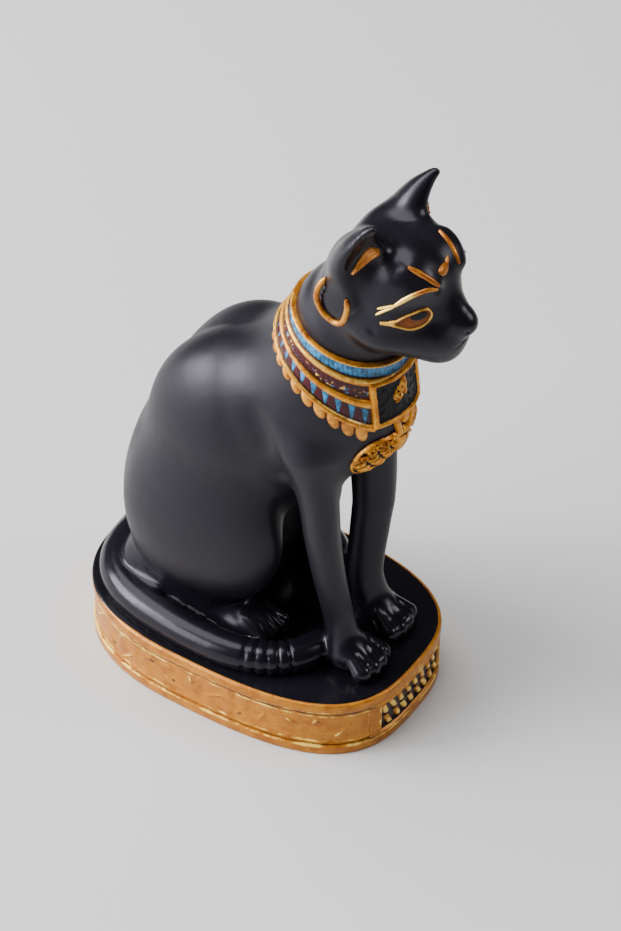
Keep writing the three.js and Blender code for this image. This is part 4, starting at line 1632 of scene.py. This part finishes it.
def make_stage():
    """Pale floor, soft studio light and the camera."""
    deselect()
    bpy.ops.mesh.primitive_plane_add(size=6)
    floor = bpy.context.object
    floor.name = "floor"
    shader = Shader("pale_floor")
    tone = shader.noise(3, 2, 0.5)
    base = shader.mix(tone, (0.54, 0.54, 0.54, 1), (0.56, 0.56, 0.56, 1))
    floor.data.materials.append(shader.finish({"Roughness": 0.9}, Base_Color=base))
    target = Vector(LIGHT_TARGET)
    for name, place, size, power in LIGHTS:
        light = bpy.data.lights.new(name, "AREA")
        light.shape = "SQUARE"
        light.size = size
        light.energy = power
        lamp = bpy.data.objects.new(name, light)
        lamp.location = place
        lamp.rotation_euler = (target - Vector(place)).to_track_quat("-Z", "Y").to_euler()
        bpy.context.scene.collection.objects.link(lamp)
    world = bpy.data.worlds.new("studio")
    world.use_nodes = True
    world.node_tree.nodes["Background"].inputs[0].default_value = (1, 1, 1, 1)
    world.node_tree.nodes["Background"].inputs[1].default_value = WORLD
    bpy.context.scene.world = world
    camera = bpy.data.cameras.new("camera")
    camera.lens = CAMERA_LENS
    camera.sensor_width = CAMERA_SENSOR
    eye = bpy.data.objects.new("camera", camera)
    back = Vector(CAMERA_BACK).normalized()
    up = back.cross(Vector(CAMERA_RIGHT)).normalized()
    turn = Matrix((up.cross(back), up, back)).transposed()
    eye.matrix_world = Matrix.LocRotScale(Vector(CAMERA_PLACE), turn, None)
    bpy.context.scene.collection.objects.link(eye)
    bpy.context.scene.camera = eye


# Add-on


class CatSizes(bpy.types.PropertyGroup):
    """Sizes of the figure that a user may change."""

    plinth_height: bpy.props.FloatProperty(
        name="Plinth height", description="Height of the plinth", default=0.016, unit="LENGTH"
    )
    plinth_width: bpy.props.FloatProperty(
        name="Plinth width", description="Width across the plinth", default=0.0588, unit="LENGTH"
    )
    plinth_length: bpy.props.FloatProperty(
        name="Plinth length", description="Length of the plinth", default=0.0866, unit="LENGTH"
    )
    plinth_widest: bpy.props.FloatProperty(
        name="Widest place", description="Where the plinth is widest, behind its middle",
        default=0.0062, unit="LENGTH",
    )
    plinth_front_power: bpy.props.FloatProperty(
        name="Front bluntness", description="Bluntness of the front outline", default=3.0
    )
    plinth_back_power: bpy.props.FloatProperty(
        name="Back bluntness", description="Bluntness of the back outline", default=2.3
    )
    plinth_lip: bpy.props.FloatProperty(
        name="Lip height", description="Height of the two lips", default=0.0026, unit="LENGTH"
    )
    plinth_band_depth: bpy.props.FloatProperty(
        name="Band depth", description="Depth of the band between the lips", default=0.0006,
        unit="LENGTH",
    )
    skin_step: bpy.props.FloatProperty(
        name="Skin step", description="Spacing of the cat's skin points", default=0.0007,
        unit="LENGTH",
    )
    collar_relief: bpy.props.FloatProperty(
        name="Collar relief", description="Factor on the height of the raised trim", default=1.0
    )
    panel_width: bpy.props.FloatProperty(
        name="Breast panel width", description="Width of the framed panel", default=0.015,
        unit="LENGTH",
    )


class CatPaints(bpy.types.PropertyGroup):
    """Paint colours."""

    black: bpy.props.FloatVectorProperty(
        name="Black", description="Satin black paint", subtype="COLOR", default=(0.0046, 0.0042, 0.0067)
    )
    gold: bpy.props.FloatVectorProperty(
        name="Gold", description="Gold of the trim", subtype="COLOR", default=(0.66, 0.255, 0.014)
    )
    copper: bpy.props.FloatVectorProperty(
        name="Copper", description="Copper undertone of the gold", subtype="COLOR",
        default=(0.25, 0.062, 0.004),
    )
    pale_gold: bpy.props.FloatVectorProperty(
        name="Pale gold", description="Bright flecks of the gold", subtype="COLOR",
        default=(0.95, 0.63, 0.12),
    )
    plinth_gold: bpy.props.FloatVectorProperty(
        name="Plinth gold", description="Gold of the plinth", subtype="COLOR",
        default=(0.43, 0.155, 0.009),
    )
    plinth_deep: bpy.props.FloatVectorProperty(
        name="Plinth undertone", description="Deeper tone of the plinth's gold", subtype="COLOR",
        default=(0.29, 0.085, 0.005),
    )
    # Deep brown: painted shade along the collar's grooves and band edges, and the deeper mottle of the iris
    shade_and_iris_brown: bpy.props.FloatVectorProperty(
        name="Recess", description="Dark brown left in grooves", subtype="COLOR",
        default=(0.03, 0.012, 0.006),
    )
    blue: bpy.props.FloatVectorProperty(
        name="Blue", description="Light blue enamel", subtype="COLOR", default=(0.022, 0.15, 0.31)
    )
    maroon: bpy.props.FloatVectorProperty(
        name="Maroon", description="Maroon enamel", subtype="COLOR", default=(0.045, 0.0018, 0.005)
    )


class CAT_OT_stage(bpy.types.Operator):
    """Adds the floor, the lights and the camera."""

    bl_idname = "cat_figure.stage"
    bl_label = "Stage and camera"
    bl_options = {"REGISTER", "UNDO"}

    def execute(self, context):
        make_stage()
        return {"FINISHED"}


class CAT_OT_body(bpy.types.Operator):
    """Adds the black cat over the casting."""

    bl_idname = "cat_figure.body"
    bl_label = "Cat"
    bl_options = {"REGISTER", "UNDO"}

    def execute(self, context):
        make_cat()
        return {"FINISHED"}


class CAT_OT_collar(bpy.types.Operator):
    """Adds the broad collar."""

    bl_idname = "cat_figure.collar"
    bl_label = "Collar"
    bl_options = {"REGISTER", "UNDO"}

    def execute(self, context):
        make_collar()
        return {"FINISHED"}


class CAT_OT_drops(bpy.types.Operator):
    """Adds the row of drops under the collar."""

    bl_idname = "cat_figure.drops"
    bl_label = "Collar drops"
    bl_options = {"REGISTER", "UNDO"}

    def execute(self, context):
        make_drops()
        return {"FINISHED"}


class CAT_OT_panel(bpy.types.Operator):
    """Adds the framed panel on the breast."""

    bl_idname = "cat_figure.panel"
    bl_label = "Breast panel"
    bl_options = {"REGISTER", "UNDO"}

    def execute(self, context):
        make_panel()
        return {"FINISHED"}


class CAT_OT_scarab(bpy.types.Operator):
    """Adds the winged scarab on the chest."""

    bl_idname = "cat_figure.scarab"
    bl_label = "Winged scarab"
    bl_options = {"REGISTER", "UNDO"}

    def execute(self, context):
        make_scarab()
        return {"FINISHED"}


class CAT_OT_face_lines(bpy.types.Operator):
    """Adds the painted lines of the face."""

    bl_idname = "cat_figure.face_lines"
    bl_label = "Face lines"
    bl_options = {"REGISTER", "UNDO"}

    def execute(self, context):
        make_face_lines()
        return {"FINISHED"}


class CAT_OT_eyes(bpy.types.Operator):
    """Adds the painted eyes."""

    bl_idname = "cat_figure.eyes"
    bl_label = "Eyes"
    bl_options = {"REGISTER", "UNDO"}

    def execute(self, context):
        make_eyes()
        return {"FINISHED"}


class CAT_OT_ear_marks(bpy.types.Operator):
    """Adds the gold triangles in the ears."""

    bl_idname = "cat_figure.ear_marks"
    bl_label = "Ear marks"
    bl_options = {"REGISTER", "UNDO"}

    def execute(self, context):
        make_ear_marks()
        return {"FINISHED"}


class CAT_OT_earrings(bpy.types.Operator):
    """Adds the gold hoops."""

    bl_idname = "cat_figure.earrings"
    bl_label = "Earrings"
    bl_options = {"REGISTER", "UNDO"}

    def execute(self, context):
        make_earrings()
        return {"FINISHED"}


class CAT_OT_plinth(bpy.types.Operator):
    """Adds the plinth."""

    bl_idname = "cat_figure.plinth"
    bl_label = "Plinth"
    bl_options = {"REGISTER", "UNDO"}

    def execute(self, context):
        make_plinth()
        return {"FINISHED"}


class CAT_OT_band(bpy.types.Operator):
    """Adds the band round the plinth with its front panel."""

    bl_idname = "cat_figure.band"
    bl_label = "Plinth band"
    bl_options = {"REGISTER", "UNDO"}

    def execute(self, context):
        make_band()
        return {"FINISHED"}


OPERATORS = (
    CAT_OT_stage, CAT_OT_body, CAT_OT_collar, CAT_OT_drops, CAT_OT_panel, CAT_OT_scarab,
    CAT_OT_face_lines, CAT_OT_eyes, CAT_OT_ear_marks, CAT_OT_earrings, CAT_OT_plinth,
    CAT_OT_band,
)


class CAT_PT_panel(bpy.types.Panel):
    """Lists the pieces of the figure and its sizes."""

    bl_label = "Cat figure"
    bl_space_type = "VIEW_3D"
    bl_region_type = "UI"
    bl_category = "Cat figure"

    def draw(self, context):
        for operator in OPERATORS:
            self.layout.operator(operator.bl_idname)
        for group in (context.scene.cat_sizes, context.scene.cat_paints):
            for key in group.__annotations__:
                self.layout.prop(group, key)


CLASSES = (CatSizes, CatPaints, *OPERATORS, CAT_PT_panel)


def register():
    """Adds the classes and the scene's settings."""
    for cls in CLASSES:
        bpy.utils.register_class(cls)
    bpy.types.Scene.cat_sizes = bpy.props.PointerProperty(type=CatSizes)
    bpy.types.Scene.cat_paints = bpy.props.PointerProperty(type=CatPaints)


def unregister():
    """Takes them away again."""
    del bpy.types.Scene.cat_paints
    del bpy.types.Scene.cat_sizes
    for cls in reversed(CLASSES):
        bpy.utils.unregister_class(cls)


def main():
    """Builds the figure."""
    register()
    bpy.ops.cat_figure.stage()
    bpy.ops.cat_figure.body()
    bpy.ops.cat_figure.collar()
    bpy.ops.cat_figure.drops()
    bpy.ops.cat_figure.panel()
    bpy.ops.cat_figure.scarab()
    bpy.ops.cat_figure.face_lines()
    bpy.ops.cat_figure.eyes()
    bpy.ops.cat_figure.ear_marks()
    bpy.ops.cat_figure.earrings()
    bpy.ops.cat_figure.plinth()
    bpy.ops.cat_figure.band()
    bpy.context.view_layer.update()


if __name__ == "__main__":
    main()
